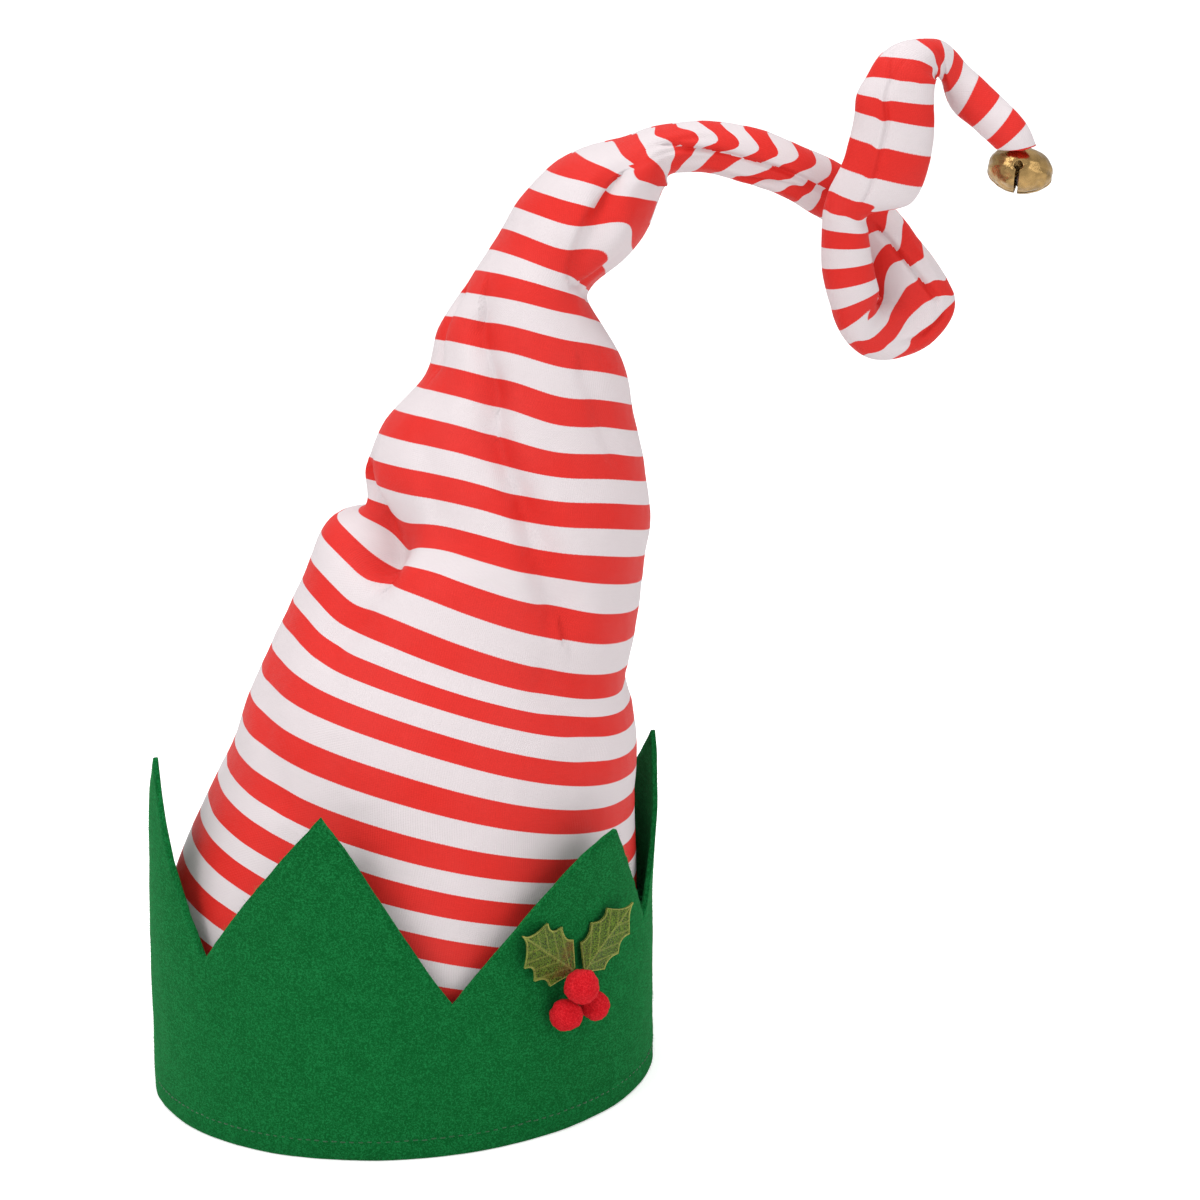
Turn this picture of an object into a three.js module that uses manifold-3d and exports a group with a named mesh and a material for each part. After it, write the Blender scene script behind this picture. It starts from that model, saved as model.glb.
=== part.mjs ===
import * as THREE from 'three';
import Module from 'manifold-3d';

// Elf hat: a green felt band with six points, a striped cloth crown that
// narrows to a looped tail, a holly sprig and a small bell.
// Millimetres, +Z up, the floor at z = 0, the front of the hat towards -Y.

// Driving sizes
const BAND_RADIUS = 95.5;
const POINT_HEIGHT = 129;
const VALLEY_HEIGHT = 64;
const FELT = 2;
const HEM_HEIGHT = 8;
const HEM_FELT = 1.6;
const HEM_SLACK = 0.7;
const CLOTH = 1.5;
const CROWN_RISE = 350;
const TAIL_RADIUS = 10;
const BAND_SLANT = 0.036;
const GAP = 0.35;
const BELL_RADIUS = 12.3;
const BELL_HALF_HEIGHT = 8.8;
const BELL_WALL = 0.8;
const BERRY_RADIUS = 6.3;
const LEAF_LENGTH = 31;
const LEAF_THICKNESS = 0.9;

// Mesh density
const BAND_COLUMNS_PER_POINT = 12;
const BAND_LEVELS = 5;
const CROWN_SEGMENTS = 32;
const BELL_SEGMENTS = 20;
const BELL_RINGS = 10;
const BERRY_SEGMENTS = 12;

const GREEN = '#0f7a33';
const CLOTH_RED = '#e2443f';
const LEAF_GREEN = '#8c9a35';
const BERRY_RED = '#d4202c';
const BRASS = '#b08d45';
const STEEL = '#8d8d88';

const DEG = Math.PI / 180;

function table(columns, rows) {
  return rows.map((row) => Object.fromEntries(columns.map((name, i) => [name, row[i]])));
}

// The six points of the band. The angle counts from +X towards +Y.
// valley and tip are shares of VALLEY_HEIGHT and POINT_HEIGHT; the valley is
// the one before the tip. lean is how far the tip bends outwards, a share of
// BAND_RADIUS. sway is how far the tip slides round the band, in degrees.
// before and after are how far the two edges of the point bulge upwards, as
// shares of POINT_HEIGHT.
const FIRST_VALLEY = 163.2;
const POINTS = table(['valley', 'tip', 'lean', 'sway', 'before', 'after'], [
  [0.85, 1.04, -0.026, 1, 0, 0],
  [1.08, 1.015, 0.032, 2.5, 0, 0.015],
  [0.9, 0.874, 0.1, 7.3, 0.05, 0],
  [1.02, 0.95, 0.047, 0, 0, 0],
  [1.02, 1.0, 0.03, -2, 0, 0.02],
  [0.97, 0.8, -0.11, -6, 0, 0],
]);
const LEAN_CURVE = 1.5;

// Sections of the crown from the rim up to the start of the arch.
// x, y, wide and deep are shares of BAND_RADIUS, z is a share of CROWN_RISE.
// tilt turns the section in the plane of the front, lean tips it backwards.
const CROWN_SECTIONS = table(['x', 'y', 'z', 'wide', 'deep', 'tilt', 'lean'], [
  [0.008, 0.0, 0.094, 0.962, 0.958, -4.4, 0],
  [0.04, 0.0, 0.181, 0.937, 0.932, -9.3, 0],
  [0.135, 0.0, 0.267, 0.862, 0.88, -15.7, 0],
  [0.177, 0.0, 0.312, 0.819, 0.85, -15.9, 0],
  [0.216, 0.0, 0.362, 0.785, 0.817, -16.5, 0],
  [0.27, 0.005, 0.411, 0.752, 0.775, -17.7, 0],
  [0.31, 0.03, 0.457, 0.705, 0.733, -18.4, 0],
  [0.35, 0.06, 0.498, 0.662, 0.69, -20.8, 0],
  [0.427, 0.09, 0.552, 0.625, 0.63, -20.5, 1],
  [0.505, 0.117, 0.585, 0.556, 0.575, -15.1, 7],
  [0.524, 0.147, 0.63, 0.565, 0.535, -12.2, 10],
  [0.561, 0.176, 0.68, 0.517, 0.49, -13.2, 10],
  [0.626, 0.205, 0.73, 0.417, 0.45, -14.4, 11],
  [0.641, 0.235, 0.782, 0.371, 0.42, -14.3, 13],
  [0.654, 0.264, 0.834, 0.259, 0.375, -16.2, 13],
  [0.719, 0.293, 0.869, 0.221, 0.345, -27, 12],
  [0.861, 0.32, 0.915, 0.25, 0.315, -20.8, 8],
  [0.98, 0.352, 0.958, 0.214, 0.27, -16, 4],
  [1.11, 0.387, 0.9685, 0.128, 0.21, -46, 2],
]);

// Sections of the tail from the start of the arch to the tip, in shares of
// TAIL_RADIUS from the centre of the last crown section. The tilt keeps
// counting through the loop, so the outer edge stays on the same side.
const TAIL_SECTIONS = table(['x', 'y', 'z', 'wide', 'deep', 'tilt'], [
  [0.84, 0.3, 0.36, 0.92, 1.5, -82],
  [2.3, 0.5, 0.38, 0.96, 1.2, -102],
  [3.98, 0.7, -0.07, 1.05, 1.1, -107],
  [5.47, 0.95, -0.71, 1.0, 1.05, -115],
  [6.63, 1.25, -1.4, 1.06, 1.0, -118],
  [7.62, 1.45, -2.12, 1.04, 0.95, -128],
  [8.62, 1.5, -3.02, 0.98, 0.9, -140],
  [9.31, 1.35, -4.17, 1.14, 0.88, -157],
  [9.91, 1.35, -5.33, 1.44, 0.88, -177],
  [10.07, 1.2, -5.9, 1.53, 0.85, -188],
  [9.88, 0.85, -6.39, 1.41, 0.82, -206],
  [9.28, 0.5, -6.81, 1.21, 0.8, -235],
  [8.45, 0.15, -6.84, 1.05, 0.8, -273],
  [7.89, -0.25, -6.34, 0.9, 0.8, -309],
  [7.59, -0.65, -5.33, 0.89, 0.8, -343],
  [7.32, -0.9, -3.98, 0.88, 0.76, -356],
  [7.29, -1.15, -2.76, 0.82, 0.76, -366],
  [7.39, -1.2, -2.03, 0.84, 0.78, -367],
  [8.25, -1.3, -1.51, 1.49, 0.8, -373],
  [8.84, -1.4, -0.42, 1.55, 0.85, -376],
  [9.22, -1.4, 1.01, 1.54, 0.85, -375],
  [9.3, -1.35, 2.05, 1.44, 0.85, -371],
  [9.57, -1.2, 2.8, 1.25, 0.85, -371],
  [9.93, -1.0, 3.29, 1.1, 0.8, -392],
  [10.69, -0.4, 3.45, 0.74, 0.8, -433],
  [11.2, 0.1, 3.22, 0.75, 0.78, -455],
  [11.51, 0.3, 2.71, 0.87, 0.75, -463],
  [11.89, 0.3, 2.16, 0.87, 0.75, -472],
  [12.69, -0.1, 1.4, 0.77, 0.7, -493],
  [13.48, -0.6, 0.6, 0.74, 0.62, -493],
  [13.9, -0.8, 0.02, 0.61, 0.46, -533],
]);

// Folds and dents. at is the section they lie at (the rim is section 0),
// angle counts round the section from its right edge, over the back, with
// 180 at the left edge and 270 at the front. reach is their half length in
// sections, spread their half width in degrees. depth pushes the cloth in
// (minus) or out, drop slides it down the crown (minus). skew turns the fold
// by that many degrees per section. Crown folds are shares of BAND_RADIUS,
// tail folds of TAIL_RADIUS.
const FOLD_COLUMNS = ['at', 'angle', 'reach', 'spread', 'depth', 'drop', 'skew'];
const CROWN_FOLDS = table(FOLD_COLUMNS, [
  [9.6, 218, 0.8, 17, -0.07, -0.06, 0],
  [8.3, 221, 1.2, 13, -0.04, -0.035, 0],
  [8.9, 190, 0.8, 14, 0.03, 0.0, 0],
  [11.5, 265, 2.4, 11, -0.035, -0.01, -14.4],
  [17.2, 285, 1.4, 14, -0.035, -0.015, -19],
  [15.6, 345, 0.6, 25, -0.045, 0.0, 0],
  [7.7, 355, 0.5, 14, -0.02, 0.0, 0],
  [10.5, 110, 1.8, 20, -0.04, -0.01, 8],
  [13.5, 55, 1.5, 18, -0.03, 0.0, -8],
]);
const TAIL_FOLDS = table(FOLD_COLUMNS, [
  [22, 292, 2.2, 13, -0.16, 0.0, 0],
  [40.5, 264, 2.2, 8, -0.08, 0.0, 0],
  [30.5, 262, 1.5, 16, -0.12, 0.0, 0],
]);

// Sections at which the cloth turns fast get a further ring halfway on.
const FAST_TURN = 22;
const TUCK_FROM = 8;
const TUCK_TO = 11;

// Stations of a holly leaf: along is a share of LEAF_LENGTH, half a share of
// its half width, so that the spines and the bays between them alternate.
const LEAF_STATIONS = table(['along', 'half'], [
  [0.0, 0.1],
  [0.12, 0.34],
  [0.2, 0.86],
  [0.32, 0.58],
  [0.46, 1.0],
  [0.56, 0.6],
  [0.72, 0.84],
  [0.82, 0.34],
  [1.0, 0.03],
]);
// Leaves: angle round the band and height of the stalk end, rise of the leaf
// above level, which way round the band it points, and its size and width as
// shares of LEAF_LENGTH.
const LEAVES = table(['name', 'angle', 'height', 'rise', 'way', 'size', 'width', 'lift'], [
  ['leaf_left', -49.1, 62.5, 39.5, -1, 1.0, 0.36, 2.5],
  ['leaf_right', -45.6, 60.8, 39.8, 1, 1.0, 0.33, 3],
]);
// Berries: angle round the band, height, size, and how far they stand off it.
const BERRIES = table(['name', 'angle', 'height', 'size', 'off'], [
  ['berry_top', -50.3, 58.6, 1.03, 4.2],
  ['berry_left', -52.3, 47.6, 0.95, 0],
  ['berry_right', -44.2, 47, 0.88, 0],
]);
const LEAF_OFF = 2.4;

const cos = (degrees) => Math.cos(degrees * DEG);
const sin = (degrees) => Math.sin(degrees * DEG);

function materialOf(colour, roughness, metalness) {
  return new THREE.MeshStandardMaterial({ color: colour, roughness, metalness });
}

function meshOf(name, positions, faces, material) {
  const geometry = new THREE.BufferGeometry();
  geometry.setAttribute('position', new THREE.Float32BufferAttribute(positions, 3));
  geometry.setIndex(faces);
  geometry.computeVertexNormals();
  const mesh = new THREE.Mesh(geometry, material);
  mesh.name = name;
  return mesh;
}

// Felt band

// The zigzag top edge and the bend of the felt at one column.
function bandColumn(column) {
  const perPoint = BAND_COLUMNS_PER_POINT;
  const point = Math.floor(column / perPoint) % POINTS.length;
  const share = (column % perPoint) / perPoint;
  const here = POINTS[point];
  const next = POINTS[(point + 1) % POINTS.length];
  const tip = here.tip * POINT_HEIGHT;
  const before = here.valley * VALLEY_HEIGHT;
  const after = next.valley * VALLEY_HEIGHT;
  const straight = share < 0.5
    ? before + (tip - before) * share * 2
    : tip + (after - tip) * (share - 0.5) * 2;
  const bulge = (share < 0.5 ? here.before : here.after) * POINT_HEIGHT;
  const up = 1 - Math.abs(share * 2 - 1);
  const top = straight + bulge * sin(180 * up ** 2);
  return {
    angle: FIRST_VALLEY + (column * 360) / (perPoint * POINTS.length),
    top,
    tip,
    root: (before + after) / 2,
    lean: here.lean * BAND_RADIUS,
    sway: here.sway,
  };
}

function bandPlace(column, radius, height) {
  const rise = Math.max(0, (height - column.root) / (column.tip - column.root));
  const bend = rise ** LEAN_CURVE;
  const r = radius + column.lean * bend;
  const angle = column.angle + column.sway * bend;
  return [r * cos(angle) + BAND_SLANT * height, r * sin(angle), height];
}

function feltBand() {
  const columns = BAND_COLUMNS_PER_POINT * POINTS.length;
  const inner = BAND_RADIUS - FELT;
  const slotInner = inner - CLOTH - 2 * GAP - HEM_SLACK;
  const hemInner = slotInner - HEM_FELT;
  const lowest = VALLEY_HEIGHT * 0.75;
  const positions = [];
  let profile = 0;
  for (let c = 0; c < columns; c += 1) {
    const column = bandColumn(c);
    const heights = [0];
    for (let level = 0; level < BAND_LEVELS; level += 1) {
      heights.push(lowest + ((column.top - lowest) * level) / (BAND_LEVELS - 1));
    }
    const loop = heights.map((height) => bandPlace(column, BAND_RADIUS, height));
    const down = heights.slice(1).reverse();
    down.push(FELT);
    for (const height of down) {
      loop.push(bandPlace(column, inner, height));
    }
    const hem = [
      [slotInner, FELT],
      [slotInner, HEM_HEIGHT],
      [hemInner, HEM_HEIGHT],
      [hemInner, 0],
    ];
    for (const [radius, height] of hem) {
      loop.push(bandPlace(column, radius, height));
    }
    profile = loop.length;
    positions.push(...loop.flat());
  }
  const faces = [];
  for (let c = 0; c < columns; c += 1) {
    const d = (c + 1) % columns;
    for (let p = 0; p < profile; p += 1) {
      const q = (p + 1) % profile;
      faces.push(c * profile + p, d * profile + p, d * profile + q);
      faces.push(c * profile + p, d * profile + q, c * profile + q);
    }
  }
  return meshOf('felt_band', positions, faces, materialOf(GREEN, 0.95, 0));
}

// Striped crown

function allSections() {
  const seat = {
    x: 0,
    y: 0,
    z: FELT + GAP,
    wide: BAND_RADIUS - FELT - GAP,
    deep: BAND_RADIUS - FELT - GAP,
    tilt: 0,
    lean: 0,
  };
  const crown = CROWN_SECTIONS.map((row) => ({
    x: row.x * BAND_RADIUS,
    y: row.y * BAND_RADIUS,
    z: row.z * CROWN_RISE,
    wide: row.wide * BAND_RADIUS,
    deep: row.deep * BAND_RADIUS,
    tilt: row.tilt,
    lean: row.lean,
  }));
  const arch = crown[crown.length - 1];
  const tail = TAIL_SECTIONS.map((row) => ({
    x: arch.x + row.x * TAIL_RADIUS,
    y: arch.y + row.y * TAIL_RADIUS,
    z: arch.z + row.z * TAIL_RADIUS,
    wide: row.wide * TAIL_RADIUS,
    deep: row.deep * TAIL_RADIUS,
    tilt: row.tilt,
    lean: 0,
  }));
  return [seat, ...crown, ...tail];
}

const SECTIONS = allSections();

// Smooth curve through the values a, b, c, d between b and c.
function through(a, b, c, d, t) {
  const slopeIn = (c - a) / 2;
  const slopeOut = (d - b) / 2;
  const t2 = t * t;
  const t3 = t2 * t;
  return (2 * t3 - 3 * t2 + 1) * b + (t3 - 2 * t2 + t) * slopeIn
    + (3 * t2 - 2 * t3) * c + (t3 - t2) * slopeOut;
}

function sectionAt(place) {
  const last = SECTIONS.length - 1;
  const i = Math.min(Math.floor(place), last - 1);
  const t = place - i;
  const a = SECTIONS[Math.max(i - 1, 0)];
  const b = SECTIONS[i];
  const c = SECTIONS[i + 1];
  const d = SECTIONS[Math.min(i + 2, last)];
  const section = {};
  for (const key of Object.keys(b)) {
    section[key] = through(a[key], b[key], c[key], d[key], t);
  }
  return section;
}

function foldAt(place, angle) {
  let depth = 0;
  let drop = 0;
  const add = (folds, size) => {
    for (const fold of folds) {
      const along = (place - fold.at) / fold.reach;
      let turn = angle - fold.angle - fold.skew * (place - fold.at);
      turn -= 360 * Math.round(turn / 360);
      const near = Math.exp(-along * along - (turn / fold.spread) ** 2);
      depth += fold.depth * size * near;
      drop += fold.drop * size * near;
    }
  };
  add(CROWN_FOLDS, BAND_RADIUS);
  add(TAIL_FOLDS, TAIL_RADIUS);
  return { depth, drop };
}

function clothPoint(place, angle) {
  const s = sectionAt(place);
  const { depth, drop } = foldAt(place, angle);
  const across = new THREE.Vector3(cos(s.tilt), 0, sin(s.tilt));
  const ahead = new THREE.Vector3(-sin(s.tilt), 0, cos(s.tilt));
  const back = new THREE.Vector3(0, cos(s.lean), 0).addScaledVector(ahead, -sin(s.lean));
  return new THREE.Vector3(s.x, s.y, s.z)
    .addScaledVector(across, (s.wide + depth) * cos(angle))
    .addScaledVector(back, (s.deep + depth) * sin(angle))
    .addScaledVector(ahead, drop);
}

function ringPlaces() {
  const places = [];
  for (let i = 0; i < SECTIONS.length; i += 1) {
    places.push(i);
    if (i + 1 < SECTIONS.length) {
      const turn = Math.abs(SECTIONS[i + 1].tilt - SECTIONS[i].tilt);
      const tuck = i >= TUCK_FROM && i < TUCK_TO;
      if (turn > FAST_TURN || tuck) {
        places.push(i + 0.5);
      }
    }
  }
  return places;
}

function stripedCrown() {
  const places = ringPlaces();
  const n = CROWN_SEGMENTS;
  const angleOf = (j) => (j * 360) / n;
  const outer = places.map((place) => {
    const ring = [];
    for (let j = 0; j < n; j += 1) {
      ring.push(clothPoint(place, angleOf(j)));
    }
    return ring;
  });
  const last = places.length - 1;
  // The inside follows the outside one cloth thickness further in.
  const inner = outer.map((ring, i) => ring.map((point, j) => {
    const up = outer[Math.min(i + 1, last)][j];
    const down = outer[Math.max(i - 1, 0)][j];
    const along = up.clone().sub(down);
    const round = ring[(j + 1) % n].clone().sub(ring[(j + n - 1) % n]);
    const inward = along.cross(round).normalize();
    if (i === 0) {
      inward.z = 0;
      inward.normalize();
    }
    return point.clone().addScaledVector(inward, CLOTH);
  }));
  const end = SECTIONS[SECTIONS.length - 1];
  const ahead = new THREE.Vector3(-sin(end.tilt), 0, cos(end.tilt));
  const pole = new THREE.Vector3(end.x, end.y, end.z).addScaledVector(ahead, end.wide * TIP_ROUND);
  const innerRings = places.length - 2;
  const innerEnd = innerRings - 1;
  const innerPole = new THREE.Vector3();
  for (const point of inner[innerEnd]) {
    innerPole.addScaledVector(point, 1 / n);
  }
  const points = [...outer.flat(), ...inner.slice(0, innerRings).flat(), pole, innerPole];
  const innerBase = outer.length * n;
  const poleIndex = points.length - 2;
  const innerPoleIndex = points.length - 1;
  const faces = [];
  const quad = (a, b, c, d) => faces.push(a, b, c, a, c, d);
  for (let i = 0; i < last; i += 1) {
    for (let j = 0; j < n; j += 1) {
      const k = (j + 1) % n;
      quad(i * n + j, i * n + k, (i + 1) * n + k, (i + 1) * n + j);
    }
  }
  for (let i = 0; i < innerEnd; i += 1) {
    for (let j = 0; j < n; j += 1) {
      const k = (j + 1) % n;
      const row = innerBase + i * n;
      quad(row + k, row + j, row + n + j, row + n + k);
    }
  }
  for (let j = 0; j < n; j += 1) {
    const k = (j + 1) % n;
    quad(k, j, innerBase + j, innerBase + k);
    faces.push(last * n + j, last * n + k, poleIndex);
    faces.push(innerBase + innerEnd * n + k, innerBase + innerEnd * n + j, innerPoleIndex);
  }
  const positions = points.flatMap((point) => [point.x, point.y, point.z]);
  return meshOf('striped_crown', positions, faces, materialOf(CLOTH_RED, 0.7, 0));
}

// Holly sprig

function leafMesh(leaf) {
  const out = new THREE.Vector3(cos(leaf.angle), sin(leaf.angle), 0);
  const round = new THREE.Vector3(-sin(leaf.angle), cos(leaf.angle), 0).multiplyScalar(leaf.way);
  const up = new THREE.Vector3(0, 0, 1);
  const along = round.clone().multiplyScalar(cos(leaf.rise)).addScaledVector(up, sin(leaf.rise));
  const side = along.clone().cross(out).normalize();
  const length = LEAF_LENGTH * leaf.size;
  const half = LEAF_LENGTH * leaf.width;
  const start = out.clone().multiplyScalar(BAND_RADIUS + LEAF_OFF)
    .add(new THREE.Vector3(BAND_SLANT * leaf.height, 0, leaf.height));
  const points = [];
  for (const station of LEAF_STATIONS) {
    for (const layer of [1, -1]) {
      for (const edge of [-1, 0, 1]) {
        const ridge = edge === 0 ? half * 0.12 : 0;
        const lift = leaf.lift * station.along ** 2 + ridge + (layer * LEAF_THICKNESS) / 2;
        points.push(start.clone()
          .addScaledVector(along, station.along * length)
          .addScaledVector(side, edge * station.half * half)
          .addScaledVector(out, lift));
      }
    }
  }
  const loop = [0, 1, 2, 5, 4, 3];
  const faces = [];
  for (let i = 0; i + 1 < LEAF_STATIONS.length; i += 1) {
    for (let p = 0; p < loop.length; p += 1) {
      const a = i * 6 + loop[p];
      const b = i * 6 + loop[(p + 1) % 6];
      faces.push(a, b, b + 6, a, b + 6, a + 6);
    }
  }
  const cap = (base, flip) => {
    for (const [a, b, c] of [[0, 3, 4], [0, 4, 1], [1, 4, 5], [1, 5, 2]]) {
      faces.push(base + a, base + (flip ? c : b), base + (flip ? b : c));
    }
  };
  cap(0, false);
  cap((LEAF_STATIONS.length - 1) * 6, true);
  const positions = points.flatMap((point) => [point.x, point.y, point.z]);
  const mesh = meshOf(leaf.name, positions, faces, materialOf(LEAF_GREEN, 0.45, 0.3));
  return outwards(mesh);
}

// Turns a closed mesh inside out when its volume comes out negative.
function outwards(mesh) {
  const position = mesh.geometry.getAttribute('position');
  const index = mesh.geometry.getIndex();
  const corners = [new THREE.Vector3(), new THREE.Vector3(), new THREE.Vector3()];
  let volume = 0;
  for (let f = 0; f < index.count; f += 3) {
    corners.forEach((corner, i) => corner.fromBufferAttribute(position, index.getX(f + i)));
    volume += corners[0].dot(corners[1].cross(corners[2]));
  }
  if (volume < 0) {
    for (let f = 0; f < index.count; f += 3) {
      const second = index.getX(f + 1);
      index.setX(f + 1, index.getX(f + 2));
      index.setX(f + 2, second);
    }
  }
  return mesh;
}

// A closed round body from a profile of [radius, height] pairs that starts
// and ends on the axis.
function turned(profile, segments) {
  const positions = [];
  const faces = [];
  const rings = profile.slice(1, -1);
  for (const [radius, height] of rings) {
    for (let j = 0; j < segments; j += 1) {
      const angle = (j * 360) / segments;
      positions.push(radius * cos(angle), radius * sin(angle), height);
    }
  }
  const bottom = rings.length * segments;
  const top = bottom + 1;
  positions.push(0, 0, profile[0][1], 0, 0, profile[profile.length - 1][1]);
  for (let j = 0; j < segments; j += 1) {
    const k = (j + 1) % segments;
    faces.push(bottom, k, j);
    faces.push(top, (rings.length - 1) * segments + j, (rings.length - 1) * segments + k);
    for (let i = 0; i + 1 < rings.length; i += 1) {
      const row = i * segments;
      faces.push(row + j, row + k, row + segments + k);
      faces.push(row + j, row + segments + k, row + segments + j);
    }
  }
  return { positions, faces };
}

function ballProfile(radius, halfHeight, rings) {
  const profile = [];
  for (let i = 0; i <= rings; i += 1) {
    const angle = -90 + (i * 180) / rings;
    profile.push([radius * cos(angle), halfHeight * sin(angle)]);
  }
  return profile;
}

function moved(body, x, y, z) {
  const positions = body.positions.map((value, i) => value + [x, y, z][i % 3]);
  return { positions, faces: body.faces };
}

function berryMesh(berry) {
  const radius = BERRY_RADIUS * berry.size;
  const reach = BAND_RADIUS + GAP + radius + berry.off;
  const ball = moved(
    turned(ballProfile(radius, radius, BERRY_SEGMENTS / 2), BERRY_SEGMENTS),
    reach * cos(berry.angle) + BAND_SLANT * berry.height,
    reach * sin(berry.angle),
    berry.height,
  );
  return meshOf(berry.name, ball.positions, ball.faces, materialOf(BERRY_RED, 0.95, 0));
}

// Bell: a thin shell with two crossed slits in its lower half, and the loose
// pellet that rests in it.

const BELL_FORWARD = 20;
const BELL_ASIDE = 15;
const BELL_SPIN = -12;
const BELL_RIGHT = 0.1;
const BELL_BACK = 1;
const SLIT_WIDTH = BELL_RADIUS * 0.13;
const SLIT_TOP = -BELL_HALF_HEIGHT * 0.42;
const SLIT_END_RADIUS = BELL_RADIUS * 0.15;
const PELLET_RADIUS = BELL_RADIUS * 0.29;

const TIP_PLACE = SECTIONS.length - 1;
const TIP = SECTIONS[TIP_PLACE];
const TIP_ROUND = 0.25;

// The upright axis as the tilted bell has it.
function bellUp() {
  const turn = new THREE.Euler(-BELL_FORWARD * DEG, BELL_ASIDE * DEG, 0, 'YXZ');
  const matrix = new THREE.Matrix4().makeRotationFromEuler(turn);
  return { matrix, up: new THREE.Vector3(0, 0, 1).transformDirection(matrix.clone().transpose()) };
}

// How high the tilted bell is over its centre, x and y away from it.
function bellTopAt(x, y) {
  const inward = bellUp().matrix.clone().transpose();
  const from = new THREE.Vector3(x, y, 0).applyMatrix4(inward);
  const rise = new THREE.Vector3(0, 0, 1).applyMatrix4(inward);
  const sizes = [BELL_RADIUS, BELL_RADIUS, BELL_HALF_HEIGHT];
  const share = (a, b) => a.toArray().reduce(
    (sum, value, i) => sum + (value * b.getComponent(i)) / sizes[i] ** 2,
    0,
  );
  const a = share(rise, rise);
  const b = share(from, rise);
  const c = share(from, from) - 1;
  const root = b * b - a * c;
  return root < 0 ? -Infinity : (-b + Math.sqrt(root)) / a;
}

// The bell hangs a gap below the lowest cloth over it, a little behind and to
// the right of the cloth's end.
function bellPlace() {
  const x = TIP.x + BELL_RIGHT * TAIL_RADIUS;
  const y = TIP.y + BELL_BACK * TAIL_RADIUS;
  const over = [new THREE.Vector3(TIP.x, TIP.y, TIP.z - TIP.wide * TIP_ROUND)];
  for (let angle = 0; angle < 360; angle += 15) {
    over.push(clothPoint(TIP_PLACE, angle), clothPoint(TIP_PLACE - 0.5, angle));
  }
  const height = Math.min(...over.map((p) => p.z - bellTopAt(p.x - x, p.y - y)));
  return [x, y, height - GAP];
}

const BELL_PLACE = bellPlace();

const wasm = await Module();
wasm.setup();

function solidOf(body) {
  return new wasm.Manifold(new wasm.Mesh({
    numProp: 3,
    vertProperties: new Float32Array(body.positions),
    triVerts: new Uint32Array(body.faces),
  }));
}

function meshFromSolid(name, solid, material) {
  const data = solid.getMesh();
  const positions = [];
  for (let v = 0; v < data.vertProperties.length; v += data.numProp) {
    positions.push(data.vertProperties[v], data.vertProperties[v + 1], data.vertProperties[v + 2]);
  }
  return meshOf(name, positions, [...data.triVerts], material);
}

function bellMesh() {
  const outside = solidOf(turned(
    ballProfile(BELL_RADIUS, BELL_HALF_HEIGHT, BELL_RINGS),
    BELL_SEGMENTS,
  ));
  const inside = solidOf(turned(
    ballProfile(BELL_RADIUS - BELL_WALL, BELL_HALF_HEIGHT - BELL_WALL, BELL_RINGS),
    BELL_SEGMENTS,
  ));
  const span = BELL_RADIUS * 2.4;
  const depth = BELL_HALF_HEIGHT * 1.2 + SLIT_TOP;
  const slit = wasm.Manifold.cube([span, SLIT_WIDTH, depth], true)
    .translate([0, 0, SLIT_TOP - depth / 2]);
  const hole = wasm.Manifold.cylinder(span, SLIT_END_RADIUS, SLIT_END_RADIUS, 12, true)
    .rotate([0, 90, 0])
    .translate([0, 0, SLIT_TOP]);
  const cut = slit.add(hole);
  const cuts = cut.add(cut.rotate([0, 0, 90]));
  const shell = outside.subtract(inside).subtract(cuts)
    .rotate([0, 0, BELL_SPIN])
    .rotate([-BELL_FORWARD, 0, 0])
    .rotate([0, BELL_ASIDE, 0])
    .translate(BELL_PLACE);
  return meshFromSolid('bell', shell, materialOf(BRASS, 0.3, 1));
}

// The pellet lies at the lowest place inside the tilted bell.
function pelletMesh() {
  const { matrix, up } = bellUp();
  const room = BELL_WALL + 2 * GAP + PELLET_RADIUS;
  const wide = BELL_RADIUS - room;
  const high = BELL_HALF_HEIGHT - room;
  const size = new THREE.Vector3(wide, wide, high);
  const reach = up.clone().multiply(size).length();
  const low = up.clone().multiply(size).multiply(size).divideScalar(-reach).applyMatrix4(matrix);
  const [x, y, z] = BELL_PLACE;
  const ball = turned(ballProfile(PELLET_RADIUS, PELLET_RADIUS, 6), 12);
  const placed = moved(ball, x + low.x, y + low.y, z + low.z);
  return meshOf('bell_pellet', placed.positions, placed.faces, materialOf(STEEL, 0.4, 1));
}

const hat = new THREE.Group();
hat.name = 'elf_hat';
hat.add(feltBand());
hat.add(stripedCrown());
for (const leaf of LEAVES) {
  hat.add(leafMesh(leaf));
}
for (const berry of BERRIES) {
  hat.add(berryMesh(berry));
}
hat.add(bellMesh());
hat.add(pelletMesh());

export default hat;
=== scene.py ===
import math

import bmesh
import bpy
import numpy as np
from mathutils import Matrix, Vector, noise


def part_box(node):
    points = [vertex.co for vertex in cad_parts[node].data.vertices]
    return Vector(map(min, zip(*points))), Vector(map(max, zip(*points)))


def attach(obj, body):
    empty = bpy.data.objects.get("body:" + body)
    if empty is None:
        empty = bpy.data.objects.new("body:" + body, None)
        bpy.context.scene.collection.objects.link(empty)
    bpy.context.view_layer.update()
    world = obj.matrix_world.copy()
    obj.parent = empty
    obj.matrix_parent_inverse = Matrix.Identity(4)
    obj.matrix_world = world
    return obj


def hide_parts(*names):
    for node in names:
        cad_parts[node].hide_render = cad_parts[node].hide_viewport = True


bl_info = {
    "name": "Elf hat",
    "version": (1, 0, 0),
    "blender": (4, 5, 0),
    "location": "View3D > Sidebar > Elf hat",
    "description": "Felt band with six points, striped crown with a looped tail, holly and a bell",
    "category": "Object",
}

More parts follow.
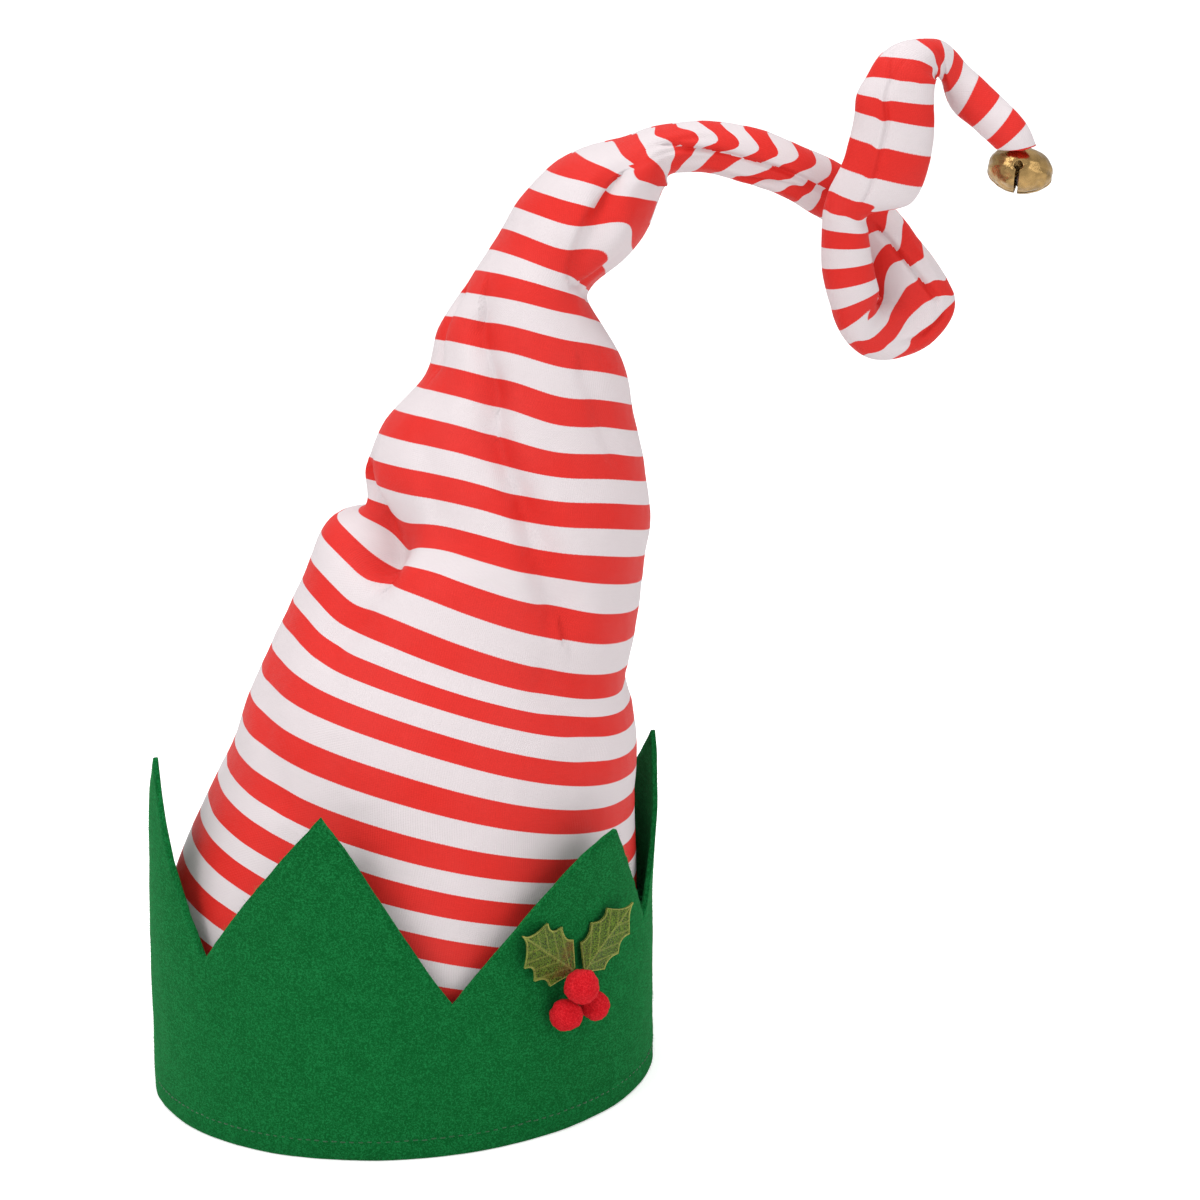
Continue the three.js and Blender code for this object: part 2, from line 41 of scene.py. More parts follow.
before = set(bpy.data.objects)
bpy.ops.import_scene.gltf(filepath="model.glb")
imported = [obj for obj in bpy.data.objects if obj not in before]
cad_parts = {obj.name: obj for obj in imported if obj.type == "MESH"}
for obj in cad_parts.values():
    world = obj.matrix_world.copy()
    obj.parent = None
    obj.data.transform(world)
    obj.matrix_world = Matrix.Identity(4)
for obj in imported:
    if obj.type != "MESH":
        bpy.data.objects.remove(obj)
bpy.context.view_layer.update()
SEED = 20

# The six points of the band. valley and tip are shares of the valley and
# point heights, lean is a share of the band radius and sway is in degrees.
# before and after round the two sides out, as shares of the point height. The
# first valley's place is in degrees, and bare lengths anywhere are in metres.
FIRST_VALLEY = 163.2
POINTS = [
    {"valley": 0.85, "tip": 1.04, "lean": -0.026, "sway": 1, "before": 0, "after": 0},
    {"valley": 1.08, "tip": 1.015, "lean": 0.032, "sway": 2.5, "before": 0, "after": 0.015},
    {"valley": 0.9, "tip": 0.874, "lean": 0.1, "sway": 7.3, "before": 0.05, "after": 0},
    {"valley": 1.02, "tip": 0.95, "lean": 0.047, "sway": 0, "before": 0, "after": 0},
    {"valley": 1.02, "tip": 1.0, "lean": 0.03, "sway": -2, "before": 0, "after": 0.02},
    {"valley": 0.97, "tip": 0.8, "lean": -0.11, "sway": -6, "before": 0, "after": 0},
]
LEAN_CURVE = 1.5
BAND_SLANT = 0.036
COLUMNS_PER_POINT = 44
BAND_LEVELS = 26
PIECE_GAP = 0.00035
FELT_ROUNDING = 0.0005
HEM_ROOM = 0.0014
HEM_FELT = 0.0016
STITCH_HEIGHT = 0.0073
LOOSE_FIBRES = 26000

# Sections of the crown, as (x, y, z, wide, deep, tilt, lean, left, right). x, y,
# wide and deep are shares of the band radius, and z is a share of the crown's
# rise. left and right count the stripes at the two edges of the section: a red
# stripe's middle is at each whole number.
CROWN_SECTIONS = [
    (0.008, 0.0, 0.094, 0.962, 0.958, -4.4, 0, -4.15, -1.65),
    (0.04, 0.0, 0.181, 0.937, 0.932, -9.3, 0, -1.7, -0.3),
    (0.135, 0.0, 0.267, 0.862, 0.88, -15.7, 0, 1, 1),
    (0.177, 0.0, 0.312, 0.819, 0.85, -15.9, 0, 2, 2),
    (0.216, 0.0, 0.362, 0.785, 0.817, -16.5, 0, 3, 3),
    (0.27, 0.005, 0.411, 0.752, 0.775, -17.7, 0, 4, 4),
    (0.31, 0.03, 0.457, 0.705, 0.733, -18.4, 0, 5, 5),
    (0.35, 0.06, 0.498, 0.662, 0.69, -20.8, 0, 6, 6),
    (0.427, 0.09, 0.552, 0.625, 0.63, -20.5, 1, 7, 7),
    (0.505, 0.117, 0.585, 0.556, 0.575, -15.1, 7, 8, 8),
    (0.524, 0.147, 0.63, 0.565, 0.535, -12.2, 10, 9, 9),
    (0.561, 0.176, 0.68, 0.517, 0.49, -13.2, 10, 10, 10),
    (0.626, 0.205, 0.73, 0.417, 0.45, -14.4, 11, 11, 11),
    (0.641, 0.235, 0.782, 0.371, 0.42, -14.3, 13, 12, 12),
    (0.654, 0.264, 0.834, 0.259, 0.375, -16.2, 13, 13, 13),
    (0.719, 0.293, 0.869, 0.221, 0.345, -27, 12, 14, 14),
    (0.861, 0.32, 0.915, 0.25, 0.315, -20.8, 8, 15, 15),
    (0.98, 0.352, 0.958, 0.214, 0.27, -16, 4, 16, 16),
    (1.11, 0.387, 0.9685, 0.128, 0.21, -46, 2, 17, 17),
]
# Sections of the tail, as (x, y, z, wide, deep, tilt, stripe). x, y and z start
# from the crown's last section, and all lengths are shares of the tail radius.
TAIL_SECTIONS = [
    (0.84, 0.3, 0.36, 0.92, 1.5, -82, 18),
    (2.3, 0.5, 0.38, 0.96, 1.2, -102, 19),
    (3.98, 0.7, -0.07, 1.05, 1.1, -107, 20),
    (5.47, 0.95, -0.71, 1.0, 1.05, -115, 21),
    (6.63, 1.25, -1.4, 1.06, 1.0, -118, 22),
    (7.62, 1.45, -2.12, 1.04, 0.95, -128, 22.9),
    (8.62, 1.5, -3.02, 0.98, 0.9, -140, 23.7),
    (9.27, 1.35, -4.17, 1.2, 0.88, -157, 24.6),
    (9.86, 1.35, -5.33, 1.5, 0.88, -177, 25.5),
    (10.02, 1.2, -5.89, 1.58, 0.85, -188, 25.95),
    (9.8, 0.85, -6.35, 1.5, 0.82, -206, 26.4),
    (9.21, 0.5, -6.71, 1.33, 0.8, -235, 26.9),
    (8.46, 0.15, -6.72, 1.17, 0.8, -273, 27.5),
    (7.95, -0.25, -6.26, 1.0, 0.8, -309, 28.45),
    (7.66, -0.65, -5.31, 0.97, 0.8, -343, 29.35),
    (7.39, -0.9, -3.98, 0.95, 0.76, -356, 30.3),
    (7.34, -1.15, -2.76, 0.87, 0.76, -366, 31.2),
    (7.39, -1.2, -2.03, 0.84, 0.78, -367, 31.77),
    (8.25, -1.3, -1.51, 1.49, 0.8, -373, 32.3),
    (8.84, -1.4, -0.42, 1.55, 0.85, -376, 32.9),
    (9.22, -1.4, 1.01, 1.54, 0.85, -375, 33.53),
    (9.3, -1.35, 2.05, 1.44, 0.85, -371, 34.2),
    (9.57, -1.2, 2.8, 1.25, 0.85, -371, 34.72),
    (9.93, -1.0, 3.29, 1.1, 0.8, -392, 35.25),
    (10.69, -0.4, 3.45, 0.74, 0.8, -433, 35.75),
    (11.2, 0.1, 3.22, 0.75, 0.78, -455, 36.3),
    (11.51, 0.3, 2.71, 0.87, 0.75, -463, 36.94),
    (11.89, 0.3, 2.16, 0.87, 0.75, -472, 37.55),
    (12.69, -0.1, 1.4, 0.77, 0.7, -493, 38.2),
    (13.48, -0.6, 0.6, 0.74, 0.62, -493, 39.1),
    (13.9, -0.8, 0.02, 0.61, 0.46, -533, 39.8),
]

# The cloth's grid: rows up to a section and from there to the tip, columns over
# the back and the front, and the lining's coarser rows, which end before the tip.
FINE_FROM = 18
CROWN_ROWS, TAIL_ROWS = 162, 225
BACK_COLUMNS, FRONT_COLUMNS = 54, 134
LINING_STEP, LINING_ENDS = 4, 24
TIP_REACH = 0.0012

# Folds and dents, as (at, angle, reach, spread, depth, drop, skew, slip). at is
# the section, and angle counts round it from the right edge over the back, with
# 180 at the left and 270 at the front. reach is the half length in sections,
# and spread the half width in degrees. depth pushes the cloth in (minus) or
# out, drop slides it down (minus), skew turns the fold by that many degrees a
# section, and slip moves the stripes without the cloth.
CROWN_FOLDS = [
    (9.6, 218, 0.8, 17, -0.07, -0.06, 0, 0),
    (8.3, 221, 1.2, 13, -0.04, -0.035, 0, 0),
    (9.1, 213, 0.35, 12, -0.035, -0.03, 6, 0),
    (9.6, 237, 0.7, 9, 0.014, 0.0, 0, 0),
    (8.9, 190, 0.8, 14, 0.03, 0.0, 0, 0),
    (11.5, 265, 2.4, 11, -0.035, -0.01, -14.4, 0),
    (12.0, 262, 1.9, 4.5, -0.014, 0.0, -14.4, 0),
    (11.8, 276, 2.1, 7, 0.012, 0.0, -14.4, 0),
    (17.2, 285, 1.4, 14, -0.035, -0.015, -19, 0),
    (16.9, 281, 0.8, 7, -0.015, 0.0, -19, 0),
    (16.6, 305, 0.7, 16, 0.03, 0.0, -10, 0),
    (15.6, 345, 0.6, 25, -0.045, 0.0, 0, 0),
    (7.7, 355, 0.5, 14, -0.02, 0.0, 0, 0),
    (10.5, 110, 1.8, 20, -0.04, -0.01, 8, 0),
    (13.5, 55, 1.5, 18, -0.03, 0.0, -8, 0),
    (6.0, 260, 2.2, 45, 0, 0, 0, -0.22),
    (7.2, 200, 0.8, 18, 0, 0, 0, -0.15),
    (12.0, 285, 2.2, 22, 0, 0, 0, 0.15),
    (17.1, 300, 1.0, 24, 0, 0, 0, -0.45),
]
TAIL_FOLDS = [
    (22, 292, 2.2, 13, -0.16, 0.0, 0, 0),
    (21.6, 268, 2.0, 7, -0.14, 0.0, 3, 0),
    (20.2, 240, 0.7, 9, -0.1, 0.0, 0, 0),
    (22.6, 315, 1.0, 9, -0.14, 0.0, -14, 0),
    (40.5, 257, 2.2, 6, -0.07, 0.0, -3, 0),
    (40.5, 250, 2.4, 8, 0.03, 0.0, 0, 0.05),
    (30.5, 262, 1.5, 16, -0.12, 0.0, 0, 0),
    (30.6, 232, 0.9, 7, -0.16, 0.0, 12, 0),
    (29.6, 216, 0.35, 12, -0.12, 0.0, 0, 0),
    (28.0, 246, 1.2, 5, -0.1, 0.0, -9, 0),
    (27.4, 222, 0.5, 9, 0.08, 0.0, 0, 0),
    (44.4, 285, 0.5, 30, -0.12, 0.0, 0, 0),
    (45.6, 290, 0.5, 26, 0.07, 0.0, 0, 0),
    (37.6, 300, 0.3, 30, -0.1, 0.0, 0, 0),
    (37.3, 310, 0.7, 26, 0, 0, 0, 0.28),
    (37.5, 200, 0.7, 26, 0, 0, 0, -0.1),
    (42.2, 190, 0.7, 22, 0, 0, 0, 0.18),
    (43.3, 297, 0.7, 24, 0, 0, 0, -0.38),
    (45.7, 322, 0.8, 34, 0, 0, 0, 0.38),
    (46.2, 200, 0.8, 30, 0, 0, 0, -0.1),
]

# Creases: lines that the cloth is pinched along, as (section, angle) points
# from the top down. depth and the half widths to the left and the right of the
# line are in metres.
CREASES = [
    {"path": [(10.7, 186), (9.91, 200), (9.54, 211), (9.26, 219.5), (8.9, 226)],
     "depth": -0.0062, "left": 0.0042, "right": 0.008},
    {"path": [(8.7, 229), (8.16, 228), (7.4, 222)], "depth": -0.0022, "left": 0.007, "right": 0.008},
    {"path": [(14.13, 230.5), (12.98, 246.5), (12.07, 261.5), (11.15, 275), (10.1, 281),
              (9.2, 296)],
     "depth": -0.0046, "left": 0.0048, "right": 0.012},
    {"path": [(18.1, 270), (17.93, 274), (17.45, 273.5), (17.12, 270), (16.74, 274),
              (16.3, 282), (15.8, 292)],
     "depth": -0.0024, "left": 0.0016, "right": 0.005},
    {"path": [(16.4, 323), (16.17, 321), (15.94, 317), (15.6, 304)],
     "depth": -0.0022, "left": 0.003, "right": 0.003},
    {"path": [(14.5, 190), (13.94, 195), (13.3, 198)], "depth": -0.003, "left": 0.004, "right": 0.005},
    {"path": [(12.3, 222), (10.8, 238), (9.5, 247)], "depth": -0.0016, "left": 0.005, "right": 0.008},
    {"path": [(8.0, 298), (6.6, 318)], "depth": -0.0015, "left": 0.006, "right": 0.009},
    {"path": [(5.4, 202), (4.2, 222)], "depth": -0.0012, "left": 0.007, "right": 0.01},
    {"path": [(13.6, 300), (12.2, 318)], "depth": -0.0018, "left": 0.004, "right": 0.006},
    {"path": [(24.6, 262), (22.8, 268), (22.0, 274), (21.2, 270), (20.7, 262), (20.1, 242)],
     "depth": -0.0017, "left": 0.0008, "right": 0.0022},
    {"path": [(23.6, 285), (22.9, 303), (22.0, 322)], "depth": -0.001, "left": 0.0007, "right": 0.0014},
    {"path": [(28.5, 234), (27.5, 248), (26.9, 256), (26.0, 268)],
     "depth": -0.0016, "left": 0.0008, "right": 0.0014},
    {"path": [(30.7, 222), (30.1, 230), (29.5, 218)],
     "depth": -0.001, "left": 0.0008, "right": 0.001},
    {"path": [(43.2, 200), (42.8, 224), (41.97, 247), (40.3, 256), (39.3, 255), (38.0, 260)],
     "depth": -0.0009, "left": 0.0006, "right": 0.0006},
    {"path": [(45.2, 300), (44.9, 262), (44.6, 238)], "depth": -0.0009, "left": 0.0008, "right": 0.0016},
]

# Where stripes run over the front of the tail, as (section, angle, count): whole
# counts lie on the middle of a red stripe, halves on a white one. The cloth is
# sewn along the seams, so the stripes of two sides don't have to meet. The
# reaches say from which section to which the marks hold, and the blend in how
# many sections they take over from the sections' own counts.
ARCH_REACH = (17.0, 24.9)
LOOP_REACH = (24.9, 33.4)
TOP_REACH = (41.5, 47.2)
STRIPE_BLEND = 0.5
FRONT_ANGLES = (184, 346)
SEAM = [(16.6, 292), (17.0, 272), (17.6, 271), (18.2, 271), (18.75, 256), (19.0, 242), (19.5, 236),
        (20.2, 240), (20.7, 262), (21.2, 270), (22.0, 274), (22.8, 268), (24.6, 262)]
LEFT_OF_SEAM = [
    (17.0, 190, 15), (17.0, 230, 15), (17.0, 262, 15), (18.02, 190, 16), (18.02, 230, 16), (18.05, 265, 16),
    (18.6, 200, 16.5), (18.6, 250, 16.5), (19.15, 195, 17), (19.12, 220, 17), (19.05, 238, 17),
    (19.6, 198, 17.5), (19.65, 222, 17.5), (20.1, 188, 18), (19.98, 214, 18), (20.4, 225, 18),
    (20.6, 240, 18), (20.58, 258, 18), (20.6, 200, 18.5), (20.9, 222, 18.5), (21.0, 240, 18.5),
    (20.95, 252, 18.5), (21.0, 190, 19), (21.15, 215, 19), (21.45, 238, 19), (21.42, 254, 19),
    (21.0, 265, 19), (21.5, 198, 19.5), (21.75, 225, 19.5), (21.9, 248, 19.5), (21.65, 266, 19.5),
    (21.95, 200, 20), (22.1, 222, 20), (22.35, 243, 20), (22.1, 264, 20), (22.55, 200, 20.5),
    (22.75, 230, 20.5), (22.7, 248, 20.5), (23.1, 198, 21), (23.3, 225, 21), (23.15, 243, 21),
    (22.85, 258, 21), (23.65, 200, 21.5), (23.75, 230, 21.5), (23.5, 255, 21.5), (24.1, 188, 22),
    (24.3, 240, 22),
]
RIGHT_OF_SEAM = [
    (17.42, 275, 15), (17.42, 305, 15), (17.4, 335, 15), (17.98, 282, 15.5), (17.9, 325, 15.5),
    (18.3, 290, 15.75), (18.75, 263, 15.75), (18.1, 325, 15.75), (18.95, 275, 16), (18.9, 310, 16),
    (18.98, 246, 16), (19.35, 255, 16.25), (19.57, 285, 16.25), (19.6, 318, 16.25), (19.75, 252, 16.5),
    (20.0, 275, 16.5), (19.95, 305, 16.5), (20.55, 245, 17), (20.55, 262, 17), (20.42, 282, 17),
    (20.15, 305, 17), (20.0, 325, 17), (20.95, 272, 17.5), (20.8, 298, 17.5), (20.55, 328, 17.5),
    (21.42, 282, 18), (21.32, 300, 18), (21.12, 330, 18), (22.05, 282, 18.5), (21.9, 300, 18.5),
    (21.6, 325, 18.5), (22.85, 268, 19), (22.75, 285, 19), (22.55, 303, 19), (22.0, 328, 19),
    (23.35, 272, 19.5), (23.25, 284, 19.5), (22.6, 324, 19.5), (23.28, 304, 20), (23.2, 335, 20),
    (23.8, 320, 20.5), (23.9, 290, 20.5), (24.25, 335, 21), (24.15, 274, 21),
]
LOOP_SEAM = [(24.9, 268), (26.0, 268), (26.9, 256), (27.5, 248), (28.1, 240), (28.6, 234),
             (28.7, 180), (34, 180)]
LOOP_STRIP = [
    (33.55, 195, 29), (33.55, 230, 29), (33.1, 200, 28.5), (33, 240, 28.5), (32.65, 195, 28),
    (32.6, 222, 28), (32.1, 240, 28), (28.05, 232, 28), (28.2, 215, 28), (28.35, 203, 28),
    (31.9, 212, 27.5), (31.5, 228, 27.5), (31, 245, 27.5), (29, 235, 27.5), (28.75, 215, 27.5),
    (29.6, 236, 27.5), (31.05, 200, 27), (30.55, 216, 27), (30.45, 234, 27.1), (30, 222, 27),
    (29.5, 212, 27), (29.3, 202, 27), (27.65, 245, 28.5), (27.6, 225, 28.5), (27.6, 203, 28.5),
    (27, 245, 29), (27, 228, 29), (26.65, 212, 29), (26.62, 192, 29), (26.2, 232, 29.5), (26.15, 205, 29.5),
    (25.8, 240, 30), (25.6, 205, 30), (27.9, 238, 28.25), (27.5, 244, 28.6), (26.9, 252, 29.2),
    (26.4, 256, 29.6),
]
LOOP_PANEL = [
    (33.55, 195, 29), (33.55, 230, 29), (33.5, 262, 29), (33.45, 300, 29), (32.9, 322, 29), (31.8, 330, 29),
    (33.1, 200, 28.5), (33, 240, 28.5), (32.6, 262, 28.5), (32.2, 280, 28.5), (31.8, 293, 28.5),
    (31.2, 302, 28.5), (32.65, 195, 28), (32.6, 222, 28), (32.1, 240, 28), (31.7, 258, 28), (31.2, 270, 28),
    (30.8, 279, 28), (30.4, 285, 28), (29.9, 287, 28), (29.3, 284, 28), (28.7, 276, 28), (28.2, 263, 28),
    (28, 247, 28), (31.9, 212, 27.5), (31.5, 228, 27.5), (31, 245, 27.5), (30.4, 255, 27.5),
    (29.6, 248, 27.5), (29, 235, 27.5), (29.6, 236, 27.5), (31.05, 200, 27), (30.55, 216, 27),
    (30.45, 234, 27.1), (30, 222, 27), (29.5, 212, 27), (29.3, 202, 27), (30.6, 309, 28.5),
    (29.5, 312, 28.5), (28.5, 305, 28.5), (27.75, 292, 28.5), (27.4, 278, 28.5), (27.5, 262, 28.5),
    (30.8, 331, 29), (29.9, 333, 29), (29, 331, 29), (28.2, 326, 29), (27.4, 315, 29), (27.05, 300, 29),
    (26.88, 285, 29), (26.75, 268, 29), (26.3, 290, 29.5), (26.3, 270, 29.5), (26.5, 250, 29.5),
    (25.9, 262, 30), (27.3, 345, 29.5), (28.6, 236, 27.75),
]
OVER_THE_TOP = [
    (41.6, 200, 34.5), (41.6, 260, 34.5), (41.6, 320, 34.5), (42.2, 186, 35), (42.4, 212, 35),
    (42.55, 240, 35), (42.7, 265, 35), (42.04, 265, 34.75), (42.04, 300, 34.75), (42.95, 290, 35),
    (42.7, 322, 35), (43.5, 265, 35.25), (43.85, 290, 35.25), (43.3, 200, 35.5), (43.45, 225, 35.5),
    (43.78, 250, 35.5), (43.85, 265, 35.45), (44.05, 278, 35.5), (44.15, 300, 35.4), (44.3, 205, 36),
    (44.4, 223, 36), (44.62, 250, 36), (44.55, 265, 36), (44.4, 282, 36), (44.35, 300, 35.75),
    (45.3, 200, 36.5), (45.4, 223, 36.5), (45.4, 250, 36.5), (45.2, 275, 36.5), (44.75, 298, 36.5),
    (46.3, 200, 37), (46.15, 250, 37), (45.85, 275, 37), (45.5, 302, 37), (45.15, 330, 37),
    (46.95, 200, 37.5), (47, 260, 37.5), (46.7, 310, 37.5),
]

# Places on the band: angle and rise in degrees, height, lift and off in mm.
LEAVES = [
    {"name": "leaf_left", "angle": -49.1, "height": 62.5, "rise": 39.5, "way": -1,
     "width": 0.36, "lift": 2.5, "scorch": 0.9},
    {"name": "leaf_right", "angle": -45.6, "height": 60.8, "rise": 39.8, "way": 1,
     "width": 0.33, "lift": 3, "scorch": 0.15},
]
# A leaf's edge, as (share of its length, half width, depth of the bay after it).
LEAF_SPINES = [
    (0.0, 0.1, 0.0), (0.2, 0.86, 0.16), (0.46, 1.0, 0.22), (0.72, 0.84, 0.2), (1.0, 0.02, 0.0),
]
VEIN_ROOTS = (0.08, 0.27, 0.47, 0.66)
LEAF_OFF_BAND = 0.0024
LEAF_HALF = 0.00032
BERRIES = [
    {"name": "berry_top", "angle": -50.3, "height": 58.6, "size": 1.03, "off": 4.2},
    {"name": "berry_left", "angle": -52.3, "height": 47.6, "size": 0.95, "off": 0},
    {"name": "berry_right", "angle": -44.2, "height": 47, "size": 0.88, "off": 0},
]
BERRY_SKIN = 0.985

# The bell hangs askew. Its slits begin a little below the middle, each with a
# round hole at its end.
BELL_TURNS = ((15, "Y"), (-20, "X"), (-12, "Z"))
PETALS = 4
SLIT_TOP = -0.12
SLIT_HALF = 0.00075
SLIT_HOLE = 0.0018

# The camera as fitted to the photograph, with its lengths in pixels and in
# metres and its angles in radians, and the lights as (name, place, size, power).
PHOTO_WIDTH = 1200
PHOTO_FOCAL = 4020.133
CAMERA_LIFT, CAMERA_ROLL, CAMERA_FAR = 0.2610359, 0.0430687, 1.5
CAMERA_AIM = (0.0827313, 0, 0.1808940)
SENSOR = 36
LIGHTS = [
    ("key", (-1.45, -1.6, 1.6), 1.1, 20.5),
    ("fill", (1.7, -1.7, 0.7), 1.2, 8),
    ("top", (0.1, 0.1, 2.2), 1.4, 21),
]
LIT_PLACE = (0.08, 0, 0.17)


def length_of(name, description, default):
    return bpy.props.FloatProperty(
        name=name, description=description, default=default, unit="LENGTH")


class HatSizes(bpy.types.PropertyGroup):
    """The sizes that a user would change."""

    band_radius: length_of("Band radius", "Outside radius of the felt band", 0.0955)
    point_height: length_of("Point height", "Usual height of the band's points", 0.129)
    valley_height: length_of("Valley height", "Usual height between the points", 0.064)
    felt: length_of("Felt", "Thickness of the felt", 0.002)
    hem_height: length_of("Hem height", "Height of the hem turned up inside", 0.008)
    cloth: length_of("Cloth", "Thickness of the crown's cloth", 0.0015)
    crown_rise: length_of("Crown rise", "Height that the crown's sections are shares of", 0.35)
    tail_radius: length_of("Tail radius", "Radius that the tail's sections are shares of", 0.01)
    leaf_length: length_of("Leaf length", "Length of a holly leaf", 0.031)
    berry_radius: length_of("Berry radius", "Usual radius of a berry", 0.0063)
    bell_radius: length_of("Bell radius", "Radius of the bell", 0.0123)
    bell_half: length_of("Bell half height", "Half the height of the bell", 0.0088)
    bell_wall: length_of("Bell wall", "Thickness of the bell's metal", 0.0006)
    stitch: length_of("Stitch", "Length of one hem stitch", 0.0028)


def colour_of(name, description, default):
    return bpy.props.FloatVectorProperty(
        name=name, description=description, default=default, subtype="COLOR", size=3, min=0, max=1)


class HatColours(bpy.types.PropertyGroup):
    """The colours of the pieces and of the floor."""

    felt: colour_of("Felt", "Colour of the felt band", (0.001, 0.088, 0.016))
    felt_light: colour_of("Felt fibres", "Colour of the light fibres", (0.012, 0.21, 0.055))
    cloth_red: colour_of("Red stripe", "Colour of the red stripes", (0.68, 0.023, 0.017))
    cloth_white: colour_of("White stripe", "Colour of the white stripes", (0.7, 0.63, 0.645))
    leaf: colour_of("Leaf", "Colour of the leaves", (0.15, 0.25, 0.018))
    leaf_gold: colour_of("Leaf gold", "Colour of the veins and outline", (0.5, 0.5, 0.12))
    leaf_brown: colour_of("Leaf brown", "Colour of the patches near the stalk", (0.2, 0.06, 0.01))
    berry: colour_of("Berry", "Colour of the berries", (0.52, 0.006, 0.012))
    brass: colour_of("Brass", "Colour of the bell", (0.57, 0.36, 0.14))
    steel: colour_of("Steel", "Colour of the pellet", (0.4, 0.4, 0.39))
    floor: colour_of("Floor", "Colour of the floor", (0.93, 0.93, 0.93))


# Mesh helpers


def new_piece(name, points, faces, material=None, smooth=True):
    mesh = bpy.data.meshes.new(name)
    mesh.from_pydata([tuple(p) for p in points], [], faces)
    mesh.validate()
    mesh.update()
    if smooth:
        mesh.polygons.foreach_set("use_smooth", [True] * len(mesh.polygons))
    piece = bpy.data.objects.new(name, mesh)
    bpy.context.collection.objects.link(piece)
    if material is not None:
        mesh.materials.append(material)
    return piece


def set_uv(piece, name, values):
    """values holds one pair for each corner of each face."""
    layer = piece.data.uv_layers.new(name=name)
    layer.data.foreach_set("uv", np.asarray(values, np.float32).ravel())


def mark(piece, name, values):
    """A number from 0 to 1 for each vertex."""
    layer = piece.data.attributes.new(name, "FLOAT", "POINT")
    layer.data.foreach_set("value", np.asarray(values, np.float32))


def grid_faces(rows, columns, closed, base=0, flip=False):
    """Quads over a grid of points, rows by columns, closed round the columns or not."""
    i, j = np.meshgrid(
        np.arange(rows - 1), np.arange(columns if closed else columns - 1), indexing="ij")
    here, up = i * columns, (i + 1) * columns
    k = (j + 1) % columns
    quads = np.stack([here + j, here + k, up + k, up + j], -1).reshape(-1, 4) + base
    return (quads[:, ::-1] if flip else quads).tolist()


def grid_corners(rows, columns, across, along):
    """The UV of each corner of a closed grid's quads. across has one more column than the grid."""
    i, j = np.meshgrid(np.arange(rows - 1), np.arange(columns), indexing="ij")
    corners = [(i, j), (i, j + 1), (i + 1, j + 1), (i + 1, j)]
    pairs = [np.stack([across[a, b], along[a, b]], -1) for a, b in corners]
    return np.stack(pairs, 2).reshape(-1, 2)


def roughen(points, normals, size, depth, seed):
    """Points moved along their normals by smooth noise."""
    shift = Vector((seed * 13.7, seed * 7.3, seed * 3.1))
    move = [noise.fractal(Vector(p) / size + shift, 0.6, 2.0, 3) for p in points]
    return points + normals * (np.array(move) * depth)[:, None]


# The crown's shape


def cloth_sections(sizes):
    """Rows of x, y, z, wide, deep, tilt, lean, left stripe, right stripe, in metres and degrees."""
    seat = sizes.band_radius - sizes.felt - PIECE_GAP
    rows = [(0, 0, sizes.felt + PIECE_GAP, seat, seat, 0, 0, -6.5, -3.0)]
    r, h, t = sizes.band_radius, sizes.crown_rise, sizes.tail_radius
    for x, y, z, wide, deep, tilt, lean, left, right in CROWN_SECTIONS:
        rows.append((x * r, y * r, z * h, wide * r, deep * r, tilt, lean, left, right))
    ax, ay, az = rows[-1][:3]
    for x, y, z, wide, deep, tilt, stripe in TAIL_SECTIONS:
        rows.append((ax + x * t, ay + y * t, az + z * t, wide * t, deep * t, tilt, 0, stripe, stripe))
    return np.array(rows)


def sections_between(rows, places):
    """The sections at any places, on a smooth curve through the rows."""
    last = len(rows) - 1
    i = np.minimum(np.floor(places).astype(int), last - 1)
    t = (places - i)[:, None]
    a, b, c, d = rows[np.maximum(i - 1, 0)], rows[i], rows[i + 1], rows[np.minimum(i + 2, last)]
    enter, leave = (c - a) / 2, (d - b) / 2
    t2, t3 = t * t, t * t * t
    made = ((2 * t3 - 3 * t2 + 1) * b + (t3 - 2 * t2 + t) * enter
            + (3 * t2 - 2 * t3) * c + (t3 - t2) * leave)
    made[:, 7:] = (b + (c - b) * t)[:, 7:]
    return made


def folds_over(sizes, places, angles):
    """Depth, drop and stripe slip of all folds over a grid of places by angles."""
    depth = np.zeros(places.shape)
    drop = np.zeros(places.shape)
    slip = np.zeros(places.shape)
    for folds, size in ((CROWN_FOLDS, sizes.band_radius), (TAIL_FOLDS, sizes.tail_radius)):
        for at, angle, reach, spread, deep, down, skew, slide in folds:
            along = (places - at) / reach
            turn = angles - angle - skew * (places - at)
            turn = turn - 360 * np.round(turn / 360)
            near = np.exp(-along * along - (turn / spread) ** 2)
            depth += deep * size * near
            drop += down * size * near
            slip += slide * near
    return depth, drop, slip


def creases_over(sizes, places, angles):
    """How far the creases pull the cloth in, over a grid of places by angles."""
    rows = cloth_sections(sizes)
    round_it = sections_between(rows, places[:, 0])[:, 3:5].mean(1)[:, None] * math.radians(1)
    steps = np.linalg.norm(np.diff(rows[:, :3], axis=0), axis=1)
    along = np.interp(places, np.arange(len(steps)) + 0.5, steps)
    depth = np.zeros(places.shape)
    for crease in CREASES:
        near = np.full(places.shape, 1e9)
        side = np.zeros(places.shape)
        for (p, a), (q, b) in zip(crease["path"], crease["path"][1:]):
            ux, uy = (q - p) * along, (b - a) * round_it
            x, y = (places - p) * along, (angles - a) * round_it
            t = np.clip((x * ux + y * uy) / (ux * ux + uy * uy), 0, 1)
            x, y = x - t * ux, y - t * uy
            far = np.hypot(x, y)
            side = np.where(far < near, ux * y - uy * x, side)
            near = np.minimum(near, far)
        width = np.where(side < 0, crease["right"], crease["left"])
        depth += crease["depth"] * np.exp(-((near / width) ** 2))
    return depth


